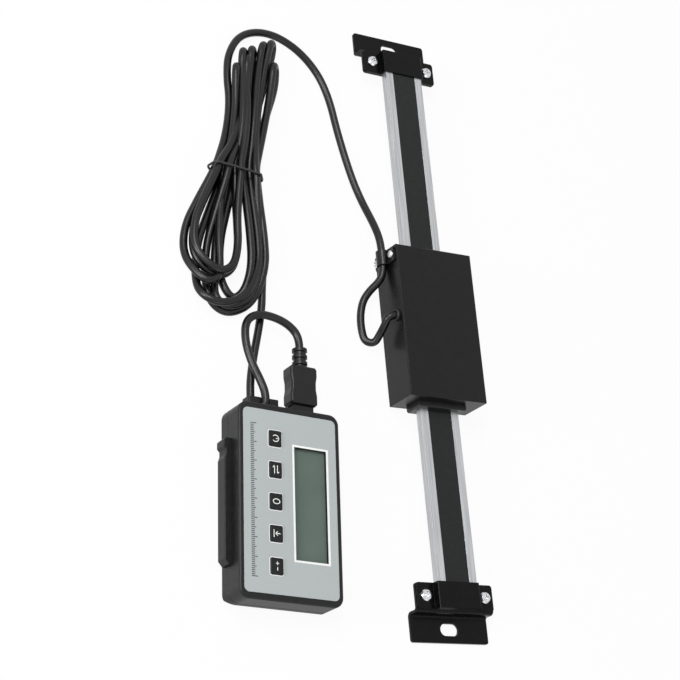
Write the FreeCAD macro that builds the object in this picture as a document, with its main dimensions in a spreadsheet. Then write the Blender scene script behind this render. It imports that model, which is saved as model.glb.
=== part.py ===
import FreeCAD, Part
import math
import os

import Sketcher

# Digital linear scale with a remote display: an aluminium beam held by a foot at each end, a reading
# head that slides along it, and a hand-sized display on a lead.
# Millimetres, +Z up from the mounting face, +Y along the beam, origin under the middle of the object.

Vector = FreeCAD.Vector

os.makedirs("parts", exist_ok=True)
doc = FreeCAD.newDocument("LinearScale")

SIZES = {
    # clearances that many fits share
    "fit_gap": 0.1,
    "slide_clearance": 0.05,
    "snug_gap": 0.02,
    # beam and strip
    "scale_x": 56.5,
    "travel": 200.0,
    "end_slack": 7.8,
    "beam_width": 24.6,
    "beam_thickness": 4.6,
    "beam_stand_off": 9.3,
    "strip_width": 15.0,
    "strip_thickness": 0.6,
    "back_channel_width": 9.0,
    "back_channel_depth": 0.8,
    "end_plug_thickness": 1.2,
    "end_plug_tongue": 5.0,
    # foot at each end of the beam: a stepped bracket, a strap over the beam and two screws
    "foot_sheet": 1.6,
    "foot_width": 49.0,
    "foot_flange": 16.0,
    "foot_bend": 1.2,
    "foot_corner": 1.6,
    "foot_slot_length": 11.5,
    "foot_slot_width": 6.6,
    "strap_sheet": 0.9,
    "strap_length": 14.2,
    "strap_ear": 10.9,
    "strap_bend": 0.7,
    "bracket_screw_radius": 2.0,
    "bracket_screw_head_radius": 3.2,
    "bracket_screw_head_height": 2.2,
    "bracket_screw_tail": 2.4,
    # reading head
    "head_width": 50.0,
    "head_length": 89.0,
    "head_height": 22.0,
    "head_clearance": 2.8,
    "head_offset": -9.0,
    "head_wall": 2.2,
    "back_plate_thickness": 2.0,
    "carriage_width": 30.8,
    "carriage_height": 12.9,
    "collar_length": 3.2,
    "gib_thickness": 1.4,
    "gib_length": 72.0,
    "board_width": 22.0,
    "board_length": 60.0,
    "board_thickness": 1.6,
    "board_gap": 0.9,
    "board_ledge": 4.0,
    "chip_width": 9.0,
    "chip_length": 14.0,
    "chip_height": 1.1,
    "cover_chamfer": 0.4,
    "collar_chamfer": 0.8,
    "mount_spacing_across": 40.0,
    "mount_spacing_along": 60.0,
    "mount_hole_radius": 1.65,
    "head_screw_radius": 1.25,
    "head_screw_inset": 3.6,
    "head_screw_head": 2.2,
    "head_screw_seat": 1.2,
    "head_screw_length": 6.8,
    "head_post_radius": 3.0,
    # lead, its gland and its saddles
    "cord_radius": 2.2,
    "cord_clearance": 0.15,
    "gland_radius": 3.3,
    "gland_lip": 0.8,
    "gland_step": 0.4,
    "gland_drop": 6.0,
    "gland_ahead": 3.8,
    "gland_bead": 0.7,
    "gland_nose": 0.6,
    "saddle_width": 8.6,
    "saddle_sheet": 1.2,
    "saddle_length": 19.0,
    "saddle_ahead": 39.4,
    "saddle_rise": 10.5,
    "saddle_screw_spacing": 14.4,
    "saddle_screw_radius": 1.1,
    "saddle_screw_head": 2.2,
    "saddle_screw_head_height": 1.5,
    "saddle_corner": 1.6,
    # display
    "display_x": -45.4,
    "display_y": -118.3,
    "display_turn": 3.5,
    "display_width": 59.0,
    "display_length": 103.0,
    "display_height": 20.5,
    "display_corner": 5.6,
    "display_wall": 2.0,
    "seam_height": 8.2,
    "face_edge": 1.2,
    "back_edge": 1.6,
    "toe_rise": 5.0,
    "toe_slope": 0.7,
    "seam_edge": 0.3,
    "board_corner": 3.4,
    "label_width": 53.9,
    "label_length": 96.2,
    "label_thickness": 0.3,
    "label_corner": 2.8,
    "glass_width": 18.9,
    "glass_length": 59.8,
    "glass_x": 11.8,
    "glass_y": 0.5,
    "glass_border": 1.1,
    "glass_thickness": 1.0,
    "glass_lap": 1.8,
    "panel_thickness": 2.6,
    "circuit_thickness": 1.6,
    "button_x": -8.8,
    "button_y": -0.4,
    "button_pitch": 16.75,
    "button_width": 7.2,
    "button_length": 8.6,
    "button_corner": 0.9,
    "button_rise": 0.8,
    "button_gap": 0.15,
    "button_travel": 0.7,
    "button_flange": 0.8,
    "button_lip": 1.0,
    "button_edge": 0.5,
    "button_stem": 1.6,
    "switch_radius": 2.2,
    "switch_height": 0.4,
    "case_screw_radius": 1.2,
    "case_screw_head": 2.1,
    "case_screw_seat": 2.4,
    "case_screw_grip": 2.8,
    "case_post_radius": 2.8,
    "case_post_inset": 5.4,
    "cell_radius": 10.0,
    "cell_thickness": 3.2,
    "cell_ring": 1.5,
    "cell_proud": 1.2,
    "cell_edge": 0.4,
    "door_width": 24.0,
    "door_length": 32.0,
    "door_thickness": 1.7,
    "door_lip": 1.4,
    "door_lip_height": 0.8,
    "door_gap": 0.1,
    "door_grip_width": 12.0,
    "door_grip_pitch": 2.4,
    # side rail and cord clip of the display
    "rail_height": 8.0,
    "rail_depth": 4.4,
    "rail_length": 66.0,
    "rail_base": 4.4,
    "rail_tongue": 2.0,
    "rail_tongue_depth": 3.0,
    "rail_tongue_inset": 4.0,
    "rail_bump": 6.0,
    "rail_neck": 1.3,
    "rail_edge": 0.5,
    "clip_x": -8.0,
    "clip_width": 17.8,
    "clip_depth": 8.4,
    "clip_height": 7.2,
    "clip_base": 0.6,
    "clip_edge": 1.0,
    "clip_screw_radius": 1.3,
    "clip_screw_head": 2.2,
    "clip_screw_inset": 2.6,
    "clip_screw_seat": 2.0,
    # plug and its socket
    "plug_x": 12.3,
    "plug_z": 10.6,
    "plug_width": 15.8,
    "plug_height": 9.6,
    "plug_length": 22.0,
    "plug_waist": 0.6,
    "plug_edge": 1.2,
    "plug_corner": 1.2,
    "plug_gap": 0.2,
    "plug_neck_width": 12.0,
    "plug_neck_height": 6.0,
    "plug_neck_length": 5.3,
    "plug_pin_width": 6.8,
    "plug_pin_height": 3.0,
    "plug_pin_length": 7.0,
    "plug_pin_wall": 0.4,
    "socket_wall": 0.55,
    "relief_radius": 4.1,
    "relief_length": 11.4,
    "relief_rib": 0.8,
    "relief_ribs": 3,
    # hank
    "hank_height": 10.6,
    "tie_width": 1.8,
    "tie_thickness": 0.9,
}


class Size:
    # A number together with the sheet expression that gives it.
    def __init__(self, number, text):
        self.number = float(number)
        self.text = text

    def __float__(self):
        return self.number

    def __add__(self, other):
        other = size(other)
        return Size(self.number + other.number, f"({self.text} + {other.text})")

    def __sub__(self, other):
        other = size(other)
        return Size(self.number - other.number, f"({self.text} - {other.text})")

    def __mul__(self, other):
        other = size(other)
        return Size(self.number * other.number, f"({self.text} * {other.text})")

    def __truediv__(self, other):
        other = size(other)
        return Size(self.number / other.number, f"({self.text} / {other.text})")

    def __radd__(self, other):
        return size(other) + self

    def __rsub__(self, other):
        return size(other) - self

    def __rmul__(self, other):
        return size(other) * self

    def __neg__(self):
        return size(0) - self


def size(value):
    return value if isinstance(value, Size) else Size(value, repr(float(value)))


sheet = doc.addObject("Spreadsheet::Sheet", "Sizes")
for row, (alias, number) in enumerate(SIZES.items(), start=1):
    sheet.set(f"A{row}", alias)
    sheet.set(f"B{row}", str(number))
    sheet.setAlias(f"B{row}", alias)
doc.recompute()


class Named:
    pass


s = Named()
for alias, number in SIZES.items():
    setattr(s, alias, Size(number, f"Sizes.{alias}"))

# Derived sizes that several pieces share.
s.beam_top = s.beam_stand_off + s.beam_thickness
s.head_top = s.head_clearance + s.head_height
s.cover_base = s.head_clearance + s.back_plate_thickness
s.carriage_length = s.head_length + 2 * s.collar_length
s.beam_length = s.travel + s.carriage_length + 2 * s.strap_length + s.end_slack
s.span_end = s.beam_length / 2 + s.end_plug_thickness
s.strap_half = s.beam_width / 2 + s.fit_gap + s.strap_sheet
s.screw_x = s.strap_half + s.strap_ear / 2
s.screw_y = s.span_end - s.strap_length / 2
s.slot_y = s.span_end + s.foot_sheet / 2 + s.foot_flange / 2
s.ear_top = s.beam_stand_off + s.strap_sheet
s.face_z = s.display_height
s.wall_inside = s.display_height - s.display_wall
s.glass_base = s.wall_inside - s.glass_thickness
s.circuit_top = s.glass_base - s.panel_thickness
s.circuit_base = s.circuit_top - s.circuit_thickness
s.head_left = s.scale_x - s.head_width / 2
s.gland_y = s.head_offset + s.gland_ahead
s.gland_z = s.head_top - s.gland_drop
s.saddle_y = s.head_offset + s.saddle_ahead
s.saddle_z = s.head_clearance + s.saddle_rise
s.display_end = s.display_length / 2
s.case_floor = s.display_wall + s.door_thickness
s.cell_y = s.door_length / 2 + 0.5 - s.display_end
s.cell_top = s.case_floor + s.cell_thickness - s.cell_proud
s.clip_screw_x = s.clip_x + s.clip_width / 2 - s.clip_screw_inset
s.clip_z = s.clip_base + s.clip_height / 2
s.plug_seat = s.display_end - s.display_wall + s.plug_gap
s.socket_end = s.display_end - s.display_wall - 1
s.socket_length = s.plug_pin_length + 1

bodies = {}


# ---- helpers ------------------------------------------------------------------------------------

def bind(thing, prop, value):
    thing.setExpression(prop, size(value).text)


def newBody(label, x=0, y=0, z=0, turn=None):
    body = doc.addObject("PartDesign::Body", label)
    body.Label = label
    place(body, x, y, z, turn)
    bodies[label] = body
    return body


def place(thing, x, y, z, turn=None):
    if turn is not None:
        thing.Placement.Rotation = FreeCAD.Rotation(Vector(0, 0, -1), float(turn))
        bind(thing, "Placement.Rotation.Angle", turn)
    bind(thing, "Placement.Base.x", x)
    bind(thing, "Placement.Base.y", y)
    bind(thing, "Placement.Base.z", z)


def onDisplay(label):
    return newBody(label, s.display_x, s.display_y, 0, s.display_turn)


def newSketch(body, name, role, offset):
    plane = [f for f in body.Origin.OriginFeatures if f.Role == role][0]
    sketch = body.newObject("Sketcher::SketchObject", name)
    sketch.AttachmentSupport = (plane, "")
    sketch.MapMode = "FlatFace"
    bind(sketch, "AttachmentOffset.Base.z", offset)
    return sketch


def fix(sketch, kind, *reference, value):
    index = sketch.addConstraint(Sketcher.Constraint(kind, *reference, float(value)))
    bind(sketch, f"Constraints[{index}]", value)


def polygon(sketch, corners):
    # A closed outline whose every corner is tied to the sheet.
    corners = [(size(x), size(y)) for x, y in corners]
    first = sketch.GeometryCount
    for start, end in zip(corners, corners[1:] + corners[:1]):
        a = Vector(float(start[0]), float(start[1]), 0)
        b = Vector(float(end[0]), float(end[1]), 0)
        sketch.addGeometry(Part.LineSegment(a, b))
    for i, (x, y) in enumerate(corners):
        after = first + (i + 1) % len(corners)
        sketch.addConstraint(Sketcher.Constraint("Coincident", first + i, 2, after, 1))
        fix(sketch, "DistanceX", first + i, 1, value=x)
        fix(sketch, "DistanceY", first + i, 1, value=y)


def rectangle(sketch, width, depth, x=0, y=0):
    width, depth, x, y = size(width), size(depth), size(x), size(y)
    left, right = x - width / 2, x + width / 2
    low, high = y - depth / 2, y + depth / 2
    polygon(sketch, [(left, low), (right, low), (right, high), (left, high)])


def roundRectangle(sketch, width, depth, radius, x=0, y=0):
    width, depth, x, y = size(width), size(depth), size(x), size(y)
    w, d, r = float(width) / 2, float(depth) / 2, float(radius)
    cx, cy = float(x), float(y)
    first = sketch.GeometryCount
    for turn in range(4):
        spin = FreeCAD.Rotation(Vector(0, 0, 1), 90 * turn)
        a, b = (w, d) if turn % 2 == 0 else (d, w)
        start = spin.multVec(Vector(-a + r, -b, 0)) + Vector(cx, cy, 0)
        end = spin.multVec(Vector(a - r, -b, 0)) + Vector(cx, cy, 0)
        centre = spin.multVec(Vector(a - r, -b + r, 0)) + Vector(cx, cy, 0)
        low = math.radians(-90 + 90 * turn)
        circle = Part.Circle(centre, Vector(0, 0, 1), r)
        sketch.addGeometry(Part.LineSegment(start, end))
        sketch.addGeometry(Part.ArcOfCircle(circle, low, low + math.pi / 2))
    for turn in range(4):
        line, arc = first + 2 * turn, first + 2 * turn + 1
        after = first + (2 * turn + 2) % 8
        sketch.addConstraint(Sketcher.Constraint("Tangent", line, 2, arc, 1))
        sketch.addConstraint(Sketcher.Constraint("Tangent", arc, 2, after, 1))
        sketch.addConstraint(Sketcher.Constraint("Horizontal" if turn % 2 == 0 else "Vertical", line))
        if turn:
            sketch.addConstraint(Sketcher.Constraint("Equal", first + 1, arc))
    fix(sketch, "Radius", first + 1, value=radius)
    fix(sketch, "DistanceX", first + 6, 1, first + 2, 1, value=width)
    fix(sketch, "DistanceY", first, 1, first + 4, 1, value=depth)
    fix(sketch, "DistanceX", first + 6, 1, value=x - width / 2)
    fix(sketch, "DistanceY", first, 1, value=y - depth / 2)


def circle(sketch, radius, x=0, y=0):
    centre = Vector(float(x), float(y), 0)
    index = sketch.addGeometry(Part.Circle(centre, Vector(0, 0, 1), float(radius)))
    fix(sketch, "Radius", index, value=radius)
    fix(sketch, "DistanceX", index, 3, value=x)
    fix(sketch, "DistanceY", index, 3, value=y)


def slot(sketch, length, width, x=0, y=0):
    # A slot along the sketch's first axis, with round ends.
    length, width, x, y = size(length), size(width), size(x), size(y)
    reach, r = (float(length) - float(width)) / 2, float(width) / 2
    cx, cy = float(x), float(y)
    first = sketch.GeometryCount
    right = Part.Circle(Vector(cx + reach, cy, 0), Vector(0, 0, 1), r)
    left = Part.Circle(Vector(cx - reach, cy, 0), Vector(0, 0, 1), r)
    sketch.addGeometry(Part.LineSegment(Vector(cx - reach, cy - r, 0), Vector(cx + reach, cy - r, 0)))
    sketch.addGeometry(Part.ArcOfCircle(right, -math.pi / 2, math.pi / 2))
    sketch.addGeometry(Part.LineSegment(Vector(cx + reach, cy + r, 0), Vector(cx - reach, cy + r, 0)))
    sketch.addGeometry(Part.ArcOfCircle(left, math.pi / 2, 3 * math.pi / 2))
    for i in range(4):
        after = first + (i + 1) % 4
        sketch.addConstraint(Sketcher.Constraint("Tangent", first + i, 2, after, 1))
    sketch.addConstraint(Sketcher.Constraint("Horizontal", first))
    sketch.addConstraint(Sketcher.Constraint("Equal", first + 1, first + 3))
    fix(sketch, "Radius", first + 1, value=width / 2)
    fix(sketch, "DistanceX", first + 3, 3, first + 1, 3, value=length - width)
    fix(sketch, "DistanceX", first + 3, 3, value=x - (length - width) / 2)
    fix(sketch, "DistanceY", first + 3, 3, value=y)


def sketchOffset(role, start, end, cutting):
    # Where the sketch goes so that its pad or pocket fills the space from start to end.
    if role == "XZ_Plane":
        return -start if cutting else -end
    return end if cutting else start


def pad(body, name, role, start, end, draw):
    start, end = size(start), size(end)
    sketch = newSketch(body, f"{name}Sketch", role, sketchOffset(role, start, end, False))
    draw(sketch)
    feature = body.newObject("PartDesign::Pad", name)
    feature.Profile = sketch
    bind(feature, "Length", end - start)
    doc.recompute()
    return feature


def pocket(body, name, role, start, end, draw):
    start, end = size(start), size(end)
    before = body.Shape.Volume
    sketch = newSketch(body, f"{name}Sketch", role, sketchOffset(role, start, end, True))
    draw(sketch)
    feature = body.newObject("PartDesign::Pocket", name)
    feature.Profile = sketch
    bind(feature, "Length", end - start)
    doc.recompute()
    if body.Shape.Volume > before - 1e-6:
        raise RuntimeError(f"{body.Label}: {name} removed nothing")
    return feature


def roundEdges(body, name, radius, wanted, kind="PartDesign::Fillet"):
    # Rounds (or chamfers) the edges of the body that the test picks.
    base = body.Tip
    names = [f"Edge{i}" for i, edge in enumerate(base.Shape.Edges, start=1) if wanted(edge)]
    if not names:
        raise RuntimeError(f"{body.Label}: {name} found no edge")
    feature = body.newObject(kind, name)
    feature.Base = (base, names)
    bind(feature, "Radius" if kind.endswith("Fillet") else "Size", radius)
    doc.recompute()
    return feature


def upright(edge):
    a, b = edge.BoundBox, edge.Vertexes
    return len(b) == 2 and a.XLength < 1e-4 and a.YLength < 1e-4 and a.ZLength > 1e-3


def near(value, target):
    return abs(value - float(target)) < 1e-3


def revolve(body, name, corners):
    # Turns a half section, given as (radius, height) corners, about the body's Z axis.
    sketch = newSketch(body, f"{name}Sketch", "XZ_Plane", 0)
    polygon(sketch, corners)
    feature = body.newObject("PartDesign::Revolution", name)
    feature.Profile = sketch
    feature.ReferenceAxis = (sketch, ["V_Axis"])
    feature.Angle = 360
    doc.recompute()
    return feature


def gather(label, pieces):
    # One node out of several like pieces.
    whole = doc.addObject("Part::Compound", label)
    whole.Label = label
    whole.Links = pieces
    for piece in pieces:
        bodies.pop(piece.Label, None)
    bodies[label] = whole
    return whole


# ---- beam ---------------------------------------------------------------------------------------

def beam():
    # Flat extrusion with a bed for the strip in front and a relief channel behind.
    body = newBody("beam", s.scale_x)
    half = s.beam_width / 2
    bed = s.strip_width / 2 + s.slide_clearance
    bedZ = s.beam_top - s.strip_thickness
    back = s.back_channel_width / 2
    backZ = s.beam_stand_off + s.back_channel_depth
    section = [
        (-half, s.beam_stand_off), (-back, s.beam_stand_off), (-back, backZ), (back, backZ),
        (back, s.beam_stand_off), (half, s.beam_stand_off), (half, s.beam_top), (bed, s.beam_top),
        (bed, bedZ), (-bed, bedZ), (-bed, s.beam_top), (-half, s.beam_top),
    ]
    pad(body, "Extrusion", "XZ_Plane", -s.beam_length / 2, s.beam_length / 2,
        lambda k: polygon(k, section))
    return body


def scaleStrip():
    strip = doc.addObject("Part::Box", "scale_strip")
    bind(strip, "Length", s.strip_width)
    bind(strip, "Width", s.beam_length)
    bind(strip, "Height", s.strip_thickness)
    place(strip, s.scale_x - s.strip_width / 2, -s.beam_length / 2, s.beam_top - s.strip_thickness)
    bodies["scale_strip"] = strip


def endPlug(side, way):
    # Moulded plug that closes the beam's end, with a tongue into the back channel.
    body = newBody(f"end_plug_{side}", s.scale_x)
    ends = sorted([way * s.beam_length / 2, way * s.span_end], key=float)
    pad(body, "Plate", "XZ_Plane", ends[0], ends[1], lambda k: rectangle(
        k, s.beam_width, s.beam_thickness, 0, s.beam_stand_off + s.beam_thickness / 2))
    tongue = sorted([way * (s.beam_length / 2 - s.end_plug_tongue), way * s.beam_length / 2], key=float)
    pad(body, "Tongue", "XZ_Plane", tongue[0], tongue[1], lambda k: rectangle(
        k, s.back_channel_width - 2 * s.fit_gap, s.back_channel_depth - s.fit_gap, 0,
        s.beam_stand_off + (s.back_channel_depth - s.fit_gap) / 2))
    return body


# ---- feet ---------------------------------------------------------------------------------------

def footBracket(side, way):
    # Stepped sheet bracket: a leg under the beam's end, a wall down, and a flange on the machine.
    body = newBody(f"foot_bracket_{side}", s.scale_x)
    inner = way * (s.span_end - s.strap_length)
    wall = way * s.span_end
    wallOut = way * (s.span_end + s.foot_sheet)
    tip = way * (s.span_end + s.foot_flange)
    legTop = s.beam_stand_off
    legBase = s.beam_stand_off - s.foot_sheet
    section = [
        (inner, legBase), (wall, legBase), (wall, 0), (tip, 0),
        (tip, s.foot_sheet), (wallOut, s.foot_sheet), (wallOut, legTop), (inner, legTop),
    ]
    pad(body, "Sheet", "YZ_Plane", -s.foot_width / 2, s.foot_width / 2, lambda k: polygon(k, section))

    def bendAt(y, z):
        def wanted(edge):
            box = edge.BoundBox
            return box.XLength > 10 and near(box.YMin, y) and near(box.ZMin, z)
        return wanted

    roundEdges(body, "InnerBendTop", s.foot_bend, bendAt(wall, legBase))
    roundEdges(body, "InnerBendLow", s.foot_bend, bendAt(wallOut, s.foot_sheet))
    roundEdges(body, "OuterBendTop", s.foot_bend + s.foot_sheet, bendAt(wallOut, legTop))
    roundEdges(body, "OuterBendLow", s.foot_bend + s.foot_sheet, bendAt(wall, 0))
    pocket(body, "Slot", "XY_Plane", 0, s.foot_sheet,
           lambda k: slot(k, s.foot_slot_length, s.foot_slot_width, 0, way * s.slot_y))
    pocket(body, "TappedHoles", "XY_Plane", legBase, legTop, lambda k: [
        circle(k, s.bracket_screw_radius, hand * s.screw_x, way * s.screw_y) for hand in (-1, 1)])
    roundEdges(body, "Corners", s.foot_corner, lambda e: upright(e) and (
        near(e.BoundBox.YMin, tip) or near(e.BoundBox.YMin, inner)))
    return body


def endStrap(side, way):
    # Hat-section strap that clamps the beam's end down on the bracket's leg.
    body = newBody(f"end_strap_{side}", s.scale_x)
    half = s.strap_half
    inside = s.strap_half - s.strap_sheet
    ear = s.strap_half + s.strap_ear
    low, earTop = s.beam_stand_off, s.ear_top
    top, under = s.beam_top + s.strap_sheet, s.beam_top
    section = [
        (-ear, low), (-inside, low), (-inside, under), (inside, under), (inside, low), (ear, low),
        (ear, earTop), (half, earTop), (half, top), (-half, top), (-half, earTop), (-ear, earTop),
    ]
    ends = sorted([way * (s.span_end - s.strap_length), way * s.span_end], key=float)
    pad(body, "Hat", "XZ_Plane", ends[0], ends[1], lambda k: polygon(k, section))
    roundEdges(body, "TopBends", s.strap_bend, lambda e: e.BoundBox.YLength > 5
               and near(e.BoundBox.ZMin, top))
    pocket(body, "ScrewHoles", "XY_Plane", low, earTop, lambda k: [
        circle(k, s.bracket_screw_radius + s.fit_gap, hand * s.screw_x, way * s.screw_y)
        for hand in (-1, 1)])
    roundEdges(body, "EarCorners", s.foot_corner, lambda e: upright(e)
               and near(abs(e.BoundBox.XMin), ear))
    return body


def panScrew(label, x, y, z, shank, tail, head, height):
    # Pan-head screw standing on its seat at z, with a cross recess.
    body = newBody(label, x, y, z)
    revolve(body, "Turned", [
        (0, -tail), (shank - 0.3, -tail), (shank, 0.3 - tail), (shank, 0), (head, 0),
        (head, height * 0.45), (head * 0.82, height * 0.85), (head * 0.45, height), (0, height)])
    arm, slit = head * 1.1, head * 0.26
    pocket(body, "CrossOne", "XY_Plane", height * 0.45, height + 0.1,
           lambda k: rectangle(k, arm, slit))
    pocket(body, "CrossTwo", "XY_Plane", height * 0.45, height + 0.1,
           lambda k: rectangle(k, slit, arm))
    return body


def bracketScrews(side, way):
    tail = s.strap_sheet + s.foot_sheet + s.bracket_screw_tail
    gather(f"bracket_screws_{side}", [
        panScrew(f"BracketScrew{side}{i}", s.scale_x + hand * s.screw_x, way * s.screw_y, s.ear_top,
                 s.bracket_screw_radius - s.snug_gap, tail, s.bracket_screw_head_radius,
                 s.bracket_screw_head_height)
        for i, hand in enumerate((-1, 1))])


# ---- reading head -------------------------------------------------------------------------------

def cornerPoints(width, length, inset):
    return [(i * (width / 2 - inset), j * (length / 2 - inset)) for i in (-1, 1) for j in (-1, 1)]


def headBackPlate():
    body = newBody("head_back_plate", s.scale_x, s.head_offset)
    pad(body, "Plate", "XY_Plane", s.head_clearance, s.cover_base,
        lambda k: rectangle(k, s.head_width, s.head_length))
    pocket(body, "MountHoles", "XY_Plane", s.head_clearance, s.cover_base, lambda k: [
        circle(k, s.mount_hole_radius, i * s.mount_spacing_across / 2, j * s.mount_spacing_along / 2)
        for i in (-1, 1) for j in (-1, 1)])
    screws = cornerPoints(s.head_width, s.head_length, s.head_screw_inset)
    pocket(body, "ScrewHoles", "XY_Plane", s.head_clearance, s.cover_base,
           lambda k: [circle(k, s.head_screw_radius + s.fit_gap, x, y) for x, y in screws])
    pocket(body, "ScrewSeats", "XY_Plane", s.head_clearance, s.head_clearance + s.head_screw_seat,
           lambda k: [circle(k, s.head_screw_head + s.fit_gap, x, y) for x, y in screws])
    return body


def headCover():
    # Sharp-edged box, open behind, with a window for the carriage in each end wall.
    body = newBody("head_cover", s.scale_x, s.head_offset)
    pad(body, "Block", "XY_Plane", s.cover_base, s.head_top,
        lambda k: rectangle(k, s.head_width, s.head_length))
    pocket(body, "Hollow", "XY_Plane", s.cover_base, s.head_top - s.head_wall, lambda k: rectangle(
        k, s.head_width - 2 * s.head_wall, s.head_length - 2 * s.head_wall))
    window = s.carriage_width + 2 * s.fit_gap
    windowTop = s.cover_base + s.carriage_height + s.fit_gap
    pocket(body, "CarriageWindows", "XZ_Plane", -s.head_length / 2 - 1, s.head_length / 2 + 1,
           lambda k: rectangle(k, window, windowTop - s.cover_base, 0, (windowTop + s.cover_base) / 2))
    posts = cornerPoints(s.head_width, s.head_length, s.head_screw_inset)
    pad(body, "Posts", "XY_Plane", s.cover_base, s.head_top - s.head_wall,
        lambda k: [circle(k, s.head_post_radius, x, y) for x, y in posts])
    holeTop = s.head_clearance + s.head_screw_seat + s.head_screw_length + 1
    pocket(body, "PostHoles", "XY_Plane", s.cover_base, holeTop,
           lambda k: [circle(k, s.head_screw_radius, x, y) for x, y in posts])
    pocket(body, "GlandHole", "YZ_Plane", -s.head_width / 2 - 1, s.head_wall - s.head_width / 2,
           lambda k: circle(k, s.gland_radius - s.gland_step, s.gland_ahead, s.gland_z))
    pocket(body, "SaddleHoles", "YZ_Plane", -s.head_width / 2 - 1, s.head_wall - s.head_width / 2,
           lambda k: [circle(k, s.saddle_screw_radius, s.saddle_ahead,
                             s.saddle_z + hand * s.saddle_screw_spacing / 2) for hand in (-1, 1)])
    roundEdges(body, "FaceEdges", s.cover_chamfer, lambda e: near(e.BoundBox.ZMin, s.head_top),
               "PartDesign::Chamfer")
    return body


def headScrews():
    gather("head_screws", [
        headScrew(f"HeadScrew{i}", x, y)
        for i, (x, y) in enumerate(cornerPoints(s.head_width, s.head_length, s.head_screw_inset))])


def headScrew(label, x, y):
    body = newBody(label, s.scale_x + x, s.head_offset + y, s.head_clearance)
    shank, seat = s.head_screw_radius - s.snug_gap, s.head_screw_seat
    tip = seat + s.head_screw_length
    revolve(body, "Turned", [
        (0, 0.3), (s.head_screw_head - 0.1, 0.3), (s.head_screw_head, 0.4), (s.head_screw_head, seat),
        (shank, seat), (shank, tip - 0.4), (shank - 0.3, tip), (0, tip)])
    return body


def slideCarriage():
    # Sleeve around the beam; its ends stand out of the cover as collars.
    body = newBody("slide_carriage", s.scale_x, s.head_offset)
    top = s.cover_base + s.carriage_height
    pad(body, "Sleeve", "XY_Plane", s.cover_base, top,
        lambda k: rectangle(k, s.carriage_width, s.carriage_length))
    gap = 2 * s.slide_clearance
    pocket(body, "BeamPassage", "XZ_Plane", -s.carriage_length / 2 - 1, s.carriage_length / 2 + 1,
           lambda k: rectangle(k, s.beam_width + gap, s.beam_thickness + gap, 0,
                               s.beam_stand_off + s.beam_thickness / 2))
    side = s.beam_width / 2 + s.slide_clearance
    pocket(body, "GibPocket", "XY_Plane", s.beam_stand_off, s.beam_top, lambda k: rectangle(
        k, s.gib_thickness + s.fit_gap, s.gib_length + s.fit_gap,
        side + (s.gib_thickness + s.fit_gap) / 2, 0))
    ledge = s.beam_top + s.board_gap
    pocket(body, "BoardRecess", "XY_Plane", ledge, top,
           lambda k: rectangle(k, s.board_width + s.fit_gap, s.board_length + s.fit_gap))
    pocket(body, "SensorWindow", "XY_Plane", s.beam_top, ledge,
           lambda k: rectangle(k, s.strip_width, s.board_length - 2 * s.board_ledge))
    end = s.carriage_length / 2
    roundEdges(body, "CollarEdges", s.collar_chamfer, lambda e: near(abs(e.BoundBox.YMin), end)
               and near(abs(e.BoundBox.YMax), end) and e.BoundBox.ZLength > 5, "PartDesign::Chamfer")
    return body


def gibStrip():
    gib = doc.addObject("Part::Box", "gib_strip")
    bind(gib, "Length", s.gib_thickness)
    bind(gib, "Width", s.gib_length)
    bind(gib, "Height", s.beam_thickness)
    side = s.scale_x + s.beam_width / 2 + s.slide_clearance
    place(gib, side + s.fit_gap / 2, s.head_offset - s.gib_length / 2, s.beam_stand_off)
    bodies["gib_strip"] = gib


def sensorBoard():
    body = newBody("sensor_board", s.scale_x, s.head_offset)
    low = s.beam_top + s.board_gap
    pad(body, "Board", "XY_Plane", low, low + s.board_thickness,
        lambda k: rectangle(k, s.board_width, s.board_length))
    top = low + s.board_thickness
    pad(body, "Chip", "XY_Plane", top, top + s.chip_height,
        lambda k: rectangle(k, s.chip_width, s.chip_length))
    return body


def cableGland():
    # Rubber bush through the head's left wall; turned about its own axis, then laid along -X.
    body = newBody("cable_gland")
    neck = s.gland_radius - s.gland_step
    bore = s.cord_radius + s.cord_clearance
    bead, nose = neck + s.gland_bead, s.gland_lip + s.gland_nose
    revolve(body, "Bush", [
        (bore, -s.head_wall - 1), (bead, -s.head_wall - 1), (bead, -s.head_wall),
        (neck, -s.head_wall), (neck, 0), (s.gland_radius, 0), (s.gland_radius, s.gland_lip),
        (neck - 0.1, nose), (bore, nose)])
    body.Placement.Rotation = FreeCAD.Rotation(Vector(0, 1, 0), -90)
    place(body, s.head_left, s.gland_y, s.gland_z)
    return body


def cordSaddle():
    # Saddle screwed to the head's left wall over the lead.
    body = newBody("cord_saddle", s.head_left, s.saddle_y, s.saddle_z)
    wall = s.saddle_sheet
    bore = s.cord_radius + s.cord_clearance
    low, high = -s.saddle_width / 2, s.saddle_width / 2
    pad(body, "Ears", "XZ_Plane", low, high,
        lambda k: rectangle(k, wall, s.saddle_length, -wall / 2, 0))
    pad(body, "Hump", "XZ_Plane", low, high, lambda k: circle(k, bore + wall, -bore, 0))
    pocket(body, "Behind", "XZ_Plane", low - 1, high + 1,
           lambda k: rectangle(k, 2 * wall, s.saddle_length, wall, 0))
    pocket(body, "CordPath", "XZ_Plane", low - 1, high + 1, lambda k: slot(k, 4 * bore, 2 * bore))
    pocket(body, "ScrewHoles", "YZ_Plane", -wall, 0, lambda k: [
        circle(k, s.saddle_screw_radius + s.fit_gap, 0, hand * s.saddle_screw_spacing / 2)
        for hand in (-1, 1)])
    roundEdges(body, "EarCorners", s.saddle_corner, lambda e: e.BoundBox.XLength > 0.5
               and near(abs(e.BoundBox.ZMin), s.saddle_length / 2)
               and near(abs(e.BoundBox.YMin), s.saddle_width / 2) and e.BoundBox.YLength < 1e-3)
    return body


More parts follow.
